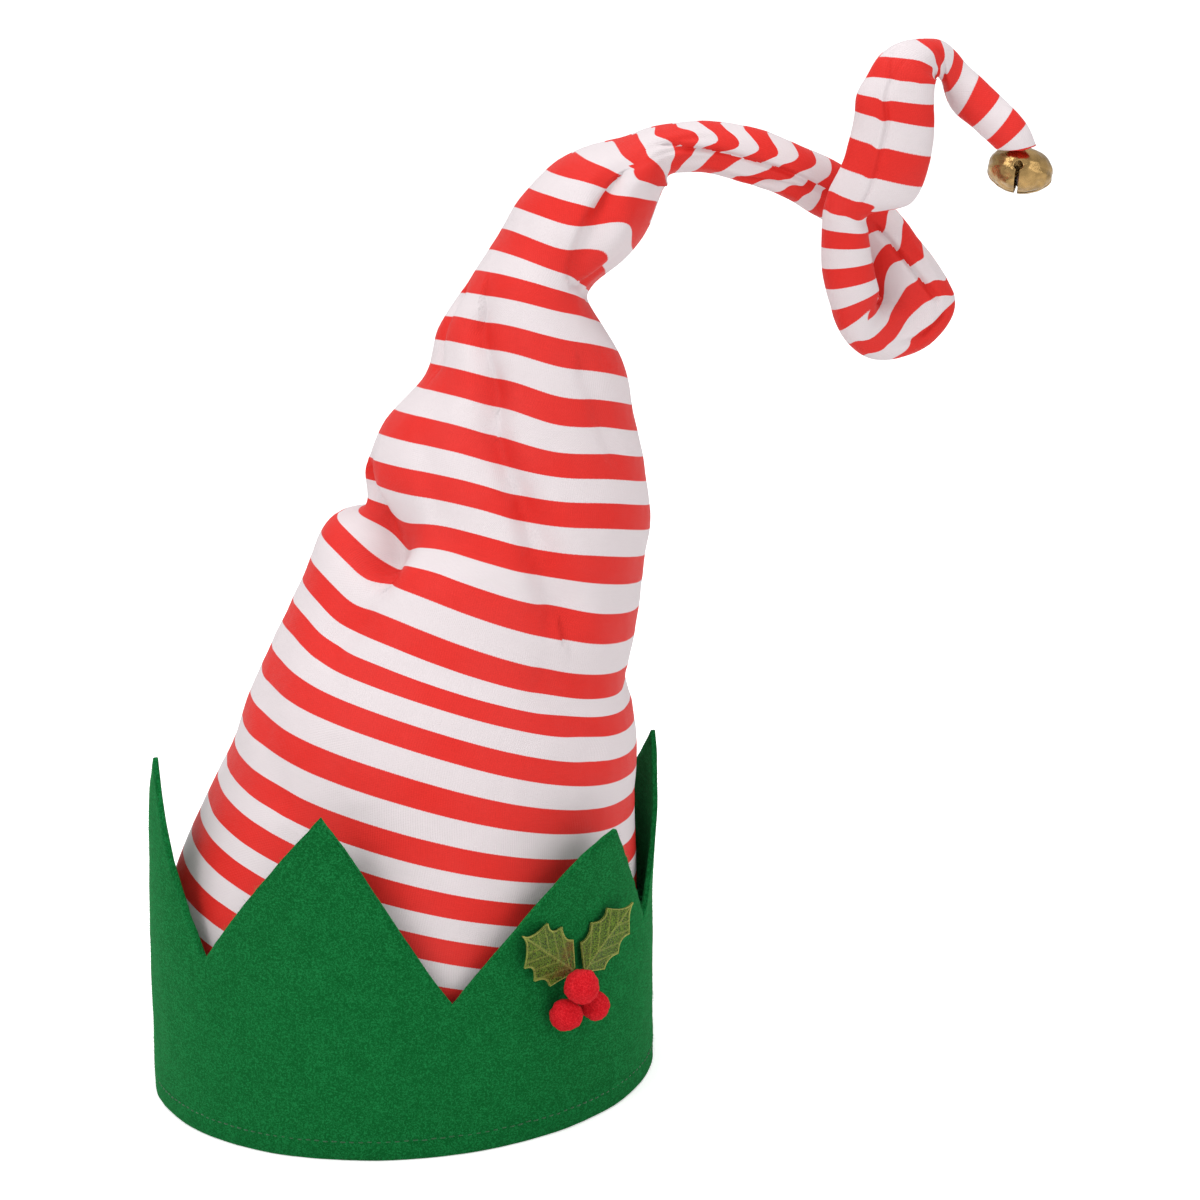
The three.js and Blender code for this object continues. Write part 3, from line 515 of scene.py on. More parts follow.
def cloth_surface(sizes, places, angles):
    """Points of the cloth's outside and the stripe count there, rows by columns."""
    s = sections_between(cloth_sections(sizes), places)
    p, a = np.meshgrid(places, angles, indexing="ij")
    depth, drop, slip = folds_over(sizes, p, a)
    depth = depth + creases_over(sizes, p, a)
    tilt, lean = np.radians(s[:, 5]), np.radians(s[:, 6])
    zero = np.zeros_like(tilt)
    across = np.stack([np.cos(tilt), zero, np.sin(tilt)], -1)[:, None]
    ahead = np.stack([-np.sin(tilt), zero, np.cos(tilt)], -1)[:, None]
    back = np.stack([zero, np.cos(lean), zero], -1)[:, None] - np.sin(lean)[:, None, None] * ahead
    c, d = np.cos(np.radians(a)), np.sin(np.radians(a))
    points = (
        s[:, None, :3]
        + across * ((s[:, 3, None] + depth) * c)[..., None]
        + back * ((s[:, 4, None] + depth) * d)[..., None]
        + ahead * drop[..., None]
    )
    left, right = s[:, 7, None], s[:, 8, None]
    stripes = (left + right) / 2 + (right - left) / 2 * c + slip
    return points, stripes


def run_through(marks, places, angles):
    """A smooth count of stripes over places and angles that keeps to the marks."""
    marks = np.array(marks)
    turn = 1 / 40  # 40 degrees count as much as one section
    at = marks[:, :2] * [1, turn]

    def spread(p, a):
        return np.hypot(p[..., None] - at[:, 0], a[..., None] * turn - at[:, 1])

    n = len(marks)
    table = np.zeros((n + 3, n + 3))
    table[:n, :n] = spread(at[:, 0], at[:, 1] / turn)
    table[:n, n:] = np.column_stack([np.ones(n), at])
    table[n:, :n] = table[:n, n:].T
    weights = np.linalg.solve(table, np.concatenate([marks[:, 2], np.zeros(3)]))
    level, along, round_it = weights[n:]
    return spread(places, angles) @ weights[:n] + level + along * places + round_it * angles * turn


def stripe_corners(places, angles, count):
    """The stripe count at the four corners of each quad of the cloth."""
    rows, columns = count.shape[0], count.shape[1] - 1
    p, a = np.meshgrid(places, np.append(angles, 360.0), indexing="ij")
    mid_p = (places[:-1] + places[1:])[:, None] / 2
    mid_a = (a[0, :-1] + a[0, 1:])[None] / 2

    def taken_over(marks, inside):
        share = np.clip(inside / STRIPE_BLEND, 0, 1)
        return count * (1 - share) + run_through(marks, p, a) * share

    def front_of(reach):
        front = (mid_a > FRONT_ANGLES[0]) & (mid_a < FRONT_ANGLES[1])
        return front & (mid_p > reach[0]) & (mid_p < reach[1])

    def after(seam):
        along, angle = np.array(seam).T
        return mid_a > np.interp(mid_p, along, angle)

    arch, loop, top = front_of(ARCH_REACH), front_of(LOOP_REACH), front_of(TOP_REACH)
    into_arch, into_loop = p - ARCH_REACH[0], LOOP_REACH[1] - p
    into_top = np.minimum(p - TOP_REACH[0], TOP_REACH[1] - p)
    parts = [
        (arch & ~after(SEAM), taken_over(LEFT_OF_SEAM, into_arch)),
        (arch & after(SEAM), taken_over(RIGHT_OF_SEAM, into_arch)),
        (loop & ~after(LOOP_SEAM), taken_over(LOOP_STRIP, into_loop)),
        (loop & after(LOOP_SEAM), taken_over(LOOP_PANEL, into_loop)),
        (top, taken_over(OVER_THE_TOP, into_top)),
    ]
    i, j = np.meshgrid(np.arange(rows - 1), np.arange(columns), indexing="ij")
    made = np.zeros((rows - 1, columns, 4))
    for k, (di, dj) in enumerate(((0, 0), (0, 1), (1, 1), (1, 0))):
        made[..., k] = count[i + di, j + dj]
        for where, values in parts:
            made[..., k] = np.where(where, values[i + di, j + dj], made[..., k])
    return made.reshape(-1)


def grid_normals(points):
    """Outward normals of a closed grid of points."""
    along = np.gradient(points, axis=0)
    around = np.roll(points, -1, 1) - np.roll(points, 1, 1)
    n = np.cross(around, along)
    return n / np.maximum(np.linalg.norm(n, axis=-1, keepdims=True), 1e-12)


# Shader groups


def group_of(name, inputs, outputs):
    """A shader node group with (name, kind, default) inputs and (name, kind) outputs."""
    tree = bpy.data.node_groups.new(name, "ShaderNodeTree")
    for label, kind, default in inputs:
        made = tree.interface.new_socket(label, in_out="INPUT", socket_type=kind)
        if default is not None:
            made.default_value = default
    for label, kind in outputs:
        tree.interface.new_socket(label, in_out="OUTPUT", socket_type=kind)
    return tree, tree.nodes.new("NodeGroupInput"), tree.nodes.new("NodeGroupOutput")


def fill_inputs(tree, made, inputs):
    """Links sockets to a node's inputs, and sets the rest to plain values."""
    for key, value in inputs.items():
        if isinstance(value, bpy.types.NodeSocket):
            tree.links.new(value, made.inputs[key])
        else:
            made.inputs[key].default_value = value
    return made


def node(tree, kind, inputs=None, **settings):
    made = tree.nodes.new(kind)
    for key, value in settings.items():
        setattr(made, key, value)
    return fill_inputs(tree, made, inputs or {})


def maths(tree, operation, a, b=0.0, c=0.0):
    return node(tree, "ShaderNodeMath", {0: a, 1: b, 2: c}, operation=operation).outputs[0]


def times(tree, a, b):
    return maths(tree, "MULTIPLY", a, b)


def plus(tree, a, b):
    return maths(tree, "ADD", a, b)


def shaded(colour, share, more=0.0):
    """A colour made darker or lighter, kept within white."""
    return [min(1, c * share + more) for c in colour]


def blended(tree, share, a, b):
    """The colour between a and b, each a socket or a plain colour."""
    mix = node(tree, "ShaderNodeMix", data_type="RGBA")
    for socket, value in ((mix.inputs[0], share), (mix.inputs[6], a), (mix.inputs[7], b)):
        if isinstance(value, bpy.types.NodeSocket):
            tree.links.new(value, socket)
        elif isinstance(value, (int, float)):
            socket.default_value = value
        else:
            socket.default_value = (*value[:3], 1)
    return mix.outputs[2]


def ramp(tree, value, low, high, to_low=0.0, to_high=1.0):
    return node(
        tree, "ShaderNodeMapRange",
        {"Value": value, "From Min": low, "From Max": high, "To Min": to_low, "To Max": to_high},
        interpolation_type="SMOOTHSTEP", clamp=True,
    ).outputs[0]


def felt_fibres():
    """Matted fibres: a mask of the light ones and a height."""
    tree, given, out = group_of(
        "Felt fibres",
        [("Vector", "NodeSocketVector", None), ("Fibre Scale", "NodeSocketFloat", 900.0),
         ("Matting", "NodeSocketFloat", 0.5)],
        [("Fibres", "NodeSocketFloat"), ("Clouds", "NodeSocketFloat"), ("Height", "NodeSocketFloat")],
    )
    vector, scale, matting = given.outputs[0], given.outputs[1], given.outputs[2]
    layers = []
    for turn, stretch in ((0.35, 0.16), (1.5, 0.2), (2.6, 0.18)):
        laid = node(tree, "ShaderNodeMapping", {
            "Vector": vector, "Rotation": (turn * 0.7, turn, turn * 1.3),
            "Scale": (1, stretch, 1)})
        fine = node(tree, "ShaderNodeTexNoise", {
            "Vector": laid.outputs[0], "Scale": scale, "Detail": 2.0,
            "Roughness": 0.6, "Distortion": 0.6})
        layers.append(fine.outputs[0])
    most = maths(tree, "MAXIMUM", maths(tree, "MAXIMUM", layers[0], layers[1]), layers[2])
    clouds = node(tree, "ShaderNodeTexNoise", {
        "Vector": vector, "Scale": times(tree, scale, 0.09), "Detail": 4.0, "Roughness": 0.65})
    patches = times(tree, maths(tree, "SUBTRACT", clouds.outputs[0], 0.5), matting)
    fibres = plus(tree, most, patches)
    tree.links.new(ramp(tree, fibres, 0.53, 0.66), out.inputs["Fibres"])
    tree.links.new(ramp(tree, clouds.outputs[0], 0.3, 0.72), out.inputs["Clouds"])
    tree.links.new(most, out.inputs["Height"])
    return tree


def cloth_weave():
    """Fine twill lines on UV in metres, with slubs: a shade and a height."""
    tree, given, out = group_of(
        "Cloth weave",
        [("Vector", "NodeSocketVector", None), ("Pitch", "NodeSocketFloat", 0.0007),
         ("Slubs", "NodeSocketFloat", 0.5)],
        [("Shade", "NodeSocketFloat"), ("Height", "NodeSocketFloat")],
    )
    vector, pitch, slubs = given.outputs[0], given.outputs[1], given.outputs[2]
    split = node(tree, "ShaderNodeSeparateXYZ", {0: vector})
    across, along = split.outputs[0], split.outputs[1]
    diagonal = maths(tree, "DIVIDE", plus(tree, across, along), pitch)
    crossing = maths(tree, "DIVIDE", maths(tree, "SUBTRACT", across, along), pitch)
    twill = maths(tree, "SINE", times(tree, diagonal, math.tau))
    thread = maths(tree, "SINE", times(tree, crossing, math.tau * 0.5))
    both = times(tree, plus(tree, twill, times(tree, thread, 0.5)), 0.33)
    long_thread = node(tree, "ShaderNodeMapping", {"Vector": vector, "Scale": (150, 2600, 1)})
    slub = node(tree, "ShaderNodeTexNoise", {
        "Vector": long_thread.outputs[0], "Scale": 1.0, "Detail": 2.0})
    shade = times(tree, maths(tree, "SUBTRACT", slub.outputs[0], 0.5), slubs)
    tree.links.new(plus(tree, times(tree, both, 0.25), shade), out.inputs["Shade"])
    tree.links.new(plus(tree, both, shade), out.inputs["Height"])
    return tree


def surface_wear():
    """Handling marks: slow clouds and fine specks."""
    tree, given, out = group_of(
        "Surface wear",
        [("Vector", "NodeSocketVector", None), ("Cloud Scale", "NodeSocketFloat", 25.0),
         ("Speck Scale", "NodeSocketFloat", 900.0)],
        [("Clouds", "NodeSocketFloat"), ("Specks", "NodeSocketFloat")],
    )
    clouds = node(tree, "ShaderNodeTexNoise", {
        "Vector": given.outputs[0], "Scale": given.outputs[1], "Detail": 5.0, "Roughness": 0.6})
    specks = node(tree, "ShaderNodeTexNoise", {
        "Vector": given.outputs[0], "Scale": given.outputs[2], "Detail": 2.0, "Roughness": 0.7})
    tree.links.new(ramp(tree, clouds.outputs[0], 0.3, 0.7), out.inputs["Clouds"])
    tree.links.new(ramp(tree, specks.outputs[0], 0.35, 0.7), out.inputs["Specks"])
    return tree


GROUP_MAKERS = {
    "Felt fibres": felt_fibres,
    "Cloth weave": cloth_weave,
    "Surface wear": surface_wear,
}


def placed_group(tree, name, inputs):
    """A shader group in a material, with the material's own values."""
    made = tree.nodes.new("ShaderNodeGroup")
    made.node_tree = bpy.data.node_groups.get(name) or GROUP_MAKERS[name]()
    return fill_inputs(tree, made, inputs)


def worn(tree, vector, clouds, specks):
    return placed_group(
        tree, "Surface wear", {"Vector": vector, "Cloud Scale": clouds, "Speck Scale": specks})


def new_material(name, **settings):
    material = bpy.data.materials.new(name)
    material.use_nodes = True
    tree = material.node_tree
    shader = tree.nodes["Principled BSDF"]
    for key, value in settings.items():
        shader.inputs[key.replace("_", " ")].default_value = value
    return material, tree, shader


def object_place(tree):
    return node(tree, "ShaderNodeTexCoord").outputs["Object"]


def bumped(tree, shader, height, strength, distance):
    bump = node(
        tree, "ShaderNodeBump", {"Height": height, "Strength": strength, "Distance": distance})
    tree.links.new(bump.outputs[0], shader.inputs["Normal"])


def felt_material(name, dark, light, scale, sheen):
    material, tree, shader = new_material(name, Roughness=0.95)
    shader.inputs["Sheen Weight"].default_value = sheen
    shader.inputs["Sheen Roughness"].default_value = 0.45
    shader.inputs["Sheen Tint"].default_value = (*shaded(light, 3, 0.02), 1)
    shader.inputs["Specular IOR Level"].default_value = 0.08
    place = object_place(tree)
    felt = placed_group(
        tree, "Felt fibres", {"Vector": place, "Fibre Scale": scale, "Matting": 0.12})
    base = blended(tree, times(tree, felt.outputs["Clouds"], 0.15), dark, shaded(dark, 1.3))
    top = blended(tree, times(tree, felt.outputs["Fibres"], 0.7), base, light)
    tree.links.new(top, shader.inputs["Base Color"])
    bumped(tree, shader, felt.outputs["Height"], 0.8, 0.0006)
    return material


def striped_material(colours):
    material, tree, shader = new_material("striped_cloth", Roughness=0.55)
    shader.inputs["Specular IOR Level"].default_value = 0.12
    stripes = node(tree, "ShaderNodeUVMap", uv_map="stripes")
    cloth = node(tree, "ShaderNodeUVMap", uv_map="cloth")
    count = node(tree, "ShaderNodeSeparateXYZ", {0: stripes.outputs[0]}).outputs[1]
    weave = placed_group(
        tree, "Cloth weave", {"Vector": cloth.outputs[0], "Pitch": 0.0009, "Slubs": 0.6})
    wear = worn(tree, object_place(tree), 22.0, 1400.0)
    ragged = plus(tree, count, times(tree, weave.outputs["Height"], 0.008))
    away = maths(tree, "ABSOLUTE", maths(tree, "SUBTRACT", ragged, maths(tree, "ROUND", ragged)))
    white = ramp(tree, away, 0.24, 0.26)
    shade = plus(tree, weave.outputs["Shade"], 0.5)
    red, pale = colours.cloth_red, colours.cloth_white
    red_thread = blended(tree, shade, shaded(red, 0.86), shaded(red, 1.1, 0.004))
    pale_thread = blended(tree, shade, shaded(pale, 0.95), shaded(pale, 1.03))
    both = blended(tree, white, red_thread, pale_thread)
    dusty = blended(tree, times(tree, wear.outputs["Clouds"], 0.02), both, shaded(pale, 0.7))
    tree.links.new(dusty, shader.inputs["Base Color"])
    rough = plus(tree, times(tree, wear.outputs["Specks"], 0.12), 0.48)
    tree.links.new(rough, shader.inputs["Roughness"])
    bumped(tree, shader, weave.outputs["Height"], 0.35, 0.00025)
    return material


def leaf_material(colours):
    material, tree, shader = new_material("leaf_cloth", Roughness=0.4, Metallic=0.55)
    place = object_place(tree)
    glitter = node(tree, "ShaderNodeTexVoronoi", {"Vector": place, "Scale": 1500.0})
    wear = worn(tree, place, 260.0, 1600.0)
    gold = node(tree, "ShaderNodeAttribute", attribute_name="gold").outputs["Fac"]
    burnt = node(tree, "ShaderNodeAttribute", attribute_name="brown").outputs["Fac"]
    dark = blended(tree, wear.outputs["Specks"], shaded(colours.leaf, 0.2), colours.leaf)
    glint = ramp(tree, glitter.outputs["Distance"], 0.5, 0.15)
    bright = blended(tree, times(tree, glint, 0.5), dark, shaded(colours.leaf, 2.1))
    patchy = times(tree, burnt, ramp(tree, wear.outputs["Clouds"], 0.2, 0.7))
    stained = blended(tree, patchy, bright, colours.leaf_brown)
    tree.links.new(blended(tree, gold, stained, colours.leaf_gold), shader.inputs["Base Color"])
    rough = plus(tree, times(tree, wear.outputs["Specks"], 0.3), 0.25)
    tree.links.new(rough, shader.inputs["Roughness"])
    bumped(tree, shader, plus(tree, wear.outputs["Specks"], glint), 0.9, 0.0003)
    return material


def metal_material(name, colour, roughness, tarnish, dent):
    material, tree, shader = new_material(name, Roughness=roughness, Metallic=1.0)
    place = object_place(tree)
    wear = worn(tree, place, 140.0, 1200.0)
    tone = blended(tree, times(tree, wear.outputs["Clouds"], tarnish), colour, shaded(colour, 0.3))
    tree.links.new(tone, shader.inputs["Base Color"])
    rough = plus(tree, times(tree, wear.outputs["Specks"], 0.12), roughness)
    rough = plus(tree, rough, times(tree, wear.outputs["Clouds"], 0.12))
    tree.links.new(rough, shader.inputs["Roughness"])
    bumped(tree, shader, wear.outputs["Clouds"], dent, 0.0006)
    return material


def thread_material(name, colour):
    material, tree, shader = new_material(name, Roughness=0.7)
    shader.inputs["Sheen Weight"].default_value = 0.3
    wear = worn(tree, object_place(tree), 90.0, 4200.0)
    tone = blended(tree, wear.outputs["Specks"], shaded(colour, 0.7), shaded(colour, 1.25))
    tree.links.new(tone, shader.inputs["Base Color"])
    bumped(tree, shader, wear.outputs["Specks"], 0.5, 0.0001)
    return material


# Band


def band_grid(sizes):
    """Points of the band, as columns round the head by places on its cross profile."""
    rng = np.random.default_rng(SEED)
    n = COLUMNS_PER_POINT * len(POINTS)
    column = np.arange(n)
    point = column // COLUMNS_PER_POINT
    share = (column % COLUMNS_PER_POINT) / COLUMNS_PER_POINT

    def value(key, step=0):
        return np.array([float(POINTS[(p + step) % len(POINTS)][key]) for p in point])

    tip = value("tip") * sizes.point_height
    before = value("valley") * sizes.valley_height
    after = value("valley", 1) * sizes.valley_height
    rising = before + (tip - before) * share * 2
    falling = tip + (after - tip) * (share - 0.5) * 2
    top = np.where(share < 0.5, rising, falling)
    bulge = np.where(share < 0.5, value("before"), value("after"))
    up = 1 - np.abs(share * 2 - 1)
    top = top + bulge * sizes.point_height * np.sin(np.pi * up**2)
    top = top + rng.normal(0, 0.00012, n)
    lean = value("lean") * sizes.band_radius
    sway = value("sway")
    angle = FIRST_VALLEY + column * 360 / n
    root = (before + after) / 2

    def place(radius, height):
        rise = np.maximum(0, (height - root) / (tip - root)) ** LEAN_CURVE
        r = radius + lean * rise
        a = np.radians(angle + sway * rise)
        return np.stack([r * np.cos(a) + BAND_SLANT * height, r * np.sin(a), height], -1)

    outer = sizes.band_radius
    inner = outer - sizes.felt
    slot = inner - sizes.cloth - HEM_ROOM
    hem = slot - HEM_FELT
    soft, low, flat = FELT_ROUNDING, sizes.felt, top * 0
    rows = []
    for level in np.linspace(0, 1, BAND_LEVELS):
        rows.append((outer, soft + (top - soft * 1.2) * level))
    rows += [(outer - soft * 0.3, top - soft * 0.3), (outer - soft, top)]
    rows += [(inner + soft, top), (inner + soft * 0.3, top - soft * 0.3)]
    for level in np.linspace(1, 0, BAND_LEVELS):
        rows.append((inner, low + (top - soft * 1.2 - low) * level))
    rows += [(slot, low + flat), (slot, sizes.hem_height + flat), (hem, sizes.hem_height + flat)]
    rows += [(hem, soft + flat), (hem + soft, flat), (outer - soft, flat)]
    return np.stack([place(radius, height) for radius, height in rows], 1)


def away_from_middle(points):
    """Level directions from the hat's middle to each point."""
    out = points.copy()
    out[:, 2] = 0
    return out / np.linalg.norm(out, axis=1, keepdims=True)


class ELFHAT_OT_band(bpy.types.Operator):
    """The felt band with its hem, its fuzz of loose fibres and its stitches."""

    bl_idname = "elfhat.band"
    bl_label = "Make the felt band"
    bl_options = {"REGISTER", "UNDO"}

    def execute(self, context):
        sizes, colours = context.scene.elf_hat_sizes, context.scene.elf_hat_colours
        points = band_grid(sizes)
        columns, profile = points.shape[:2]
        i, j = np.meshgrid(np.arange(columns), np.arange(profile), indexing="ij")
        c, q = (i + 1) % columns, (j + 1) % profile
        quads = np.stack([i * profile + j, c * profile + j, c * profile + q, i * profile + q], -1)
        faces = quads.reshape(-1, 4).tolist()
        flat = points.reshape(-1, 3)
        moved = roughen(flat, away_from_middle(flat), 0.02, 0.0003, 1)
        moved[:, 2] = np.maximum(moved[:, 2], 0)
        felt = felt_material("green_felt", colours.felt, colours.felt_light, 1500.0, 0.22)
        band = new_piece("band_felt", moved, faces, felt)
        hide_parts("felt_band")
        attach(band, "root")
        loose = shaded(colours.felt_light, 1.5, 0.01)
        self.fuzz(points, felt_material("green_fuzz", colours.felt_light, loose, 900.0, 0.3))
        self.stitches(sizes, thread_material("hem_thread", shaded(colours.felt, 1.05, 0.001)))
        return {"FINISHED"}

    def fuzz(self, points, felt):
        """Short loose fibres that stand off the felt, most of them lying flat."""
        rng = np.random.default_rng(SEED + 1)
        count = LOOSE_FIBRES
        outer = points[:, :BAND_LEVELS + 1]
        columns, levels = outer.shape[:2]
        u = rng.uniform(0, columns, count)
        v = rng.uniform(0, levels - 1.001, count)
        i, j = np.floor(u).astype(int), np.floor(v).astype(int)
        fu, fv = (u - i)[:, None], (v - j)[:, None]
        n = (i + 1) % columns
        below = outer[i, j] * (1 - fu) + outer[n, j] * fu
        above = outer[i, j + 1] * (1 - fu) + outer[n, j + 1] * fu
        root = below * (1 - fv) + above * fv
        out = away_from_middle(root)
        side = np.stack([-out[:, 1], out[:, 0], np.zeros(count)], -1)
        turn = rng.uniform(0, math.tau, count)[:, None]
        lay = side * np.cos(turn) + np.array([0, 0, 1]) * np.sin(turn)
        stand = (rng.uniform(0, 1, count) ** 2.2 * 0.75)[:, None]
        length = rng.uniform(0.0008, 0.0024, count)[:, None]
        end = root + (lay * (1 - stand) + out * stand) * length + out * 0.0001
        half = np.cross(lay, out) * 0.000036
        base = root - out * 0.0001
        middle = (base + end) / 2 + out * (length * 0.12)
        verts = np.stack(
            [base - half, base + half, middle + half * 0.8, middle - half * 0.8, end], 1)
        verts = verts.reshape(-1, 3)
        verts[:, 2] = np.maximum(verts[:, 2], 0.0001)
        k = np.arange(count)[:, None] * 5
        faces = (k + [0, 1, 2, 3]).tolist() + (k + [3, 2, 4]).tolist()
        hairs = new_piece("band_fuzz", verts, faces, felt)
        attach(hairs, "root")

    def stitches(self, sizes, thread):
        """One row of stitches through band and hem, each a small sunk dash."""
        rng = np.random.default_rng(SEED + 2)
        count = int(math.tau * sizes.band_radius / (sizes.stitch * 1.18))
        turn = math.degrees(sizes.stitch / sizes.band_radius)
        rings, sides = 5, 6
        verts, faces = [], []
        for s in range(count):
            start = len(verts)
            height = STITCH_HEIGHT + rng.normal(0, 0.00012)
            for step in range(rings):
                t = step / (rings - 1) - 0.5
                a = math.radians(s * 360 / count + t * turn)
                sink = 0.00012 - 0.00055 * (2 * t) ** 2
                thick = 0.00022 * (1 - 0.5 * (2 * t) ** 4)
                for side in range(sides):
                    b = side * math.tau / sides
                    r = sizes.band_radius + sink + thick * math.cos(b)
                    x, y = r * math.cos(a) + BAND_SLANT * height, r * math.sin(a)
                    verts.append((x, y, height + thick * math.sin(b)))
            faces += [[f + start for f in q] for q in grid_faces(rings, sides, True)]
            faces.append([start + sides - 1 - k for k in range(sides)])
            faces.append([start + (rings - 1) * sides + k for k in range(sides)])
        row = new_piece("hem_stitches", verts, faces, thread)
        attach(row, "root")


# Crown


def flipped(corners):
    """Corner values in the order of quads that face the other way."""
    return corners.reshape(-1, 4, 2)[:, ::-1].reshape(-1, 2)


def lengths_from_start(steps, axis):
    """How far along each step begins and the last one ends."""
    start = np.zeros_like(np.take(steps, [0], axis))
    return np.concatenate([start, np.cumsum(steps, axis)], axis)


class ELFHAT_OT_crown(bpy.types.Operator):
    """The crown and its tail: one skin of striped cloth with its folds."""

    bl_idname = "elfhat.crown"
    bl_label = "Make the striped crown"
    bl_options = {"REGISTER", "UNDO"}

    def execute(self, context):
        sizes, colours = context.scene.elf_hat_sizes, context.scene.elf_hat_colours
        last = len(CROWN_SECTIONS) + len(TAIL_SECTIONS)
        places = np.concatenate([
            np.linspace(0, FINE_FROM, CROWN_ROWS, endpoint=False),
            np.linspace(FINE_FROM, last, TAIL_ROWS)])
        angles = np.concatenate([
            np.linspace(0, 175, BACK_COLUMNS, endpoint=False),
            np.linspace(175, 345, FRONT_COLUMNS, endpoint=False),
            np.arange(345, 360, 3)])
        rows, columns = len(places), len(angles)
        points, stripes = cloth_surface(sizes, places, angles)
        normals = grid_normals(points)
        skin = roughen(points.reshape(-1, 3), normals.reshape(-1, 3), 0.02, 0.00035, 2)
        outer = skin.reshape(points.shape)
        lined = list(range(0, rows - LINING_ENDS, LINING_STEP))
        inner = (outer - normals * sizes.cloth)[lined]
        end = outer[-1].mean(0)
        reach = end - outer[-3].mean(0)
        tip = end + reach / np.linalg.norm(reach) * TIP_REACH
        verts = np.concatenate([outer.reshape(-1, 3), inner.reshape(-1, 3), [tip]])
        base, last_row = rows * columns, (rows - 1) * columns
        faces = grid_faces(rows, columns, True)
        faces += grid_faces(len(lined), columns, True, base, flip=True)
        for j in range(columns):
            k = (j + 1) % columns
            faces.append([k, j, base + j, base + k])
        for j in range(columns):
            faces.append([last_row + j, last_row + (j + 1) % columns, len(verts) - 1])
        crown = new_piece("crown_cloth", verts, faces, striped_material(colours))
        closed = np.concatenate([outer, outer[:, :1]], 1)
        round_it = lengths_from_start(np.linalg.norm(np.diff(closed, axis=1), axis=2), 1)
        step = np.linalg.norm(np.diff(outer, axis=0), axis=2).mean(1)
        along = np.repeat(lengths_from_start(step, 0)[:, None], columns + 1, 1)
        count = np.concatenate([stripes, stripes[:, :1]], 1)
        share = np.repeat(np.linspace(0, 1, columns + 1)[None], rows, 0)
        striped = grid_corners(rows, columns, share, count)
        striped[:, 1] = stripe_corners(places, angles, count)
        lining = grid_corners(len(lined), columns, share[lined], count[lined])
        metres = grid_corners(rows, columns, round_it, along)
        lining_metres = grid_corners(len(lined), columns, round_it[lined], along[lined])
        rim_uv = np.tile([[0.5, count[0, 0]]], (columns * 4, 1))
        cap_uv = np.tile([[0.5, count[-1, 0]]], (columns * 3, 1))
        plain = [rim_uv * 0, cap_uv * 0]
        set_uv(crown, "stripes", np.concatenate([striped, flipped(lining), rim_uv, cap_uv]))
        set_uv(crown, "cloth", np.concatenate([metres, flipped(lining_metres), *plain]))
        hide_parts("striped_crown")
        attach(crown, "root")
        return {"FINISHED"}


# Holly


def leaf_edge(along, spines):
    """Half width along a leaf from its spines, with a round bay between each two."""
    places = [s[0] for s in spines]
    k = np.clip(np.searchsorted(places, along, side="right") - 1, 0, len(spines) - 2)
    a, b = np.array(spines)[k], np.array(spines)[k + 1]
    t = (along - a[:, 0]) / (b[:, 0] - a[:, 0])
    straight = a[:, 1] + (b[:, 1] - a[:, 1]) * t
    return straight - a[:, 2] * 4 * t * (1 - t)


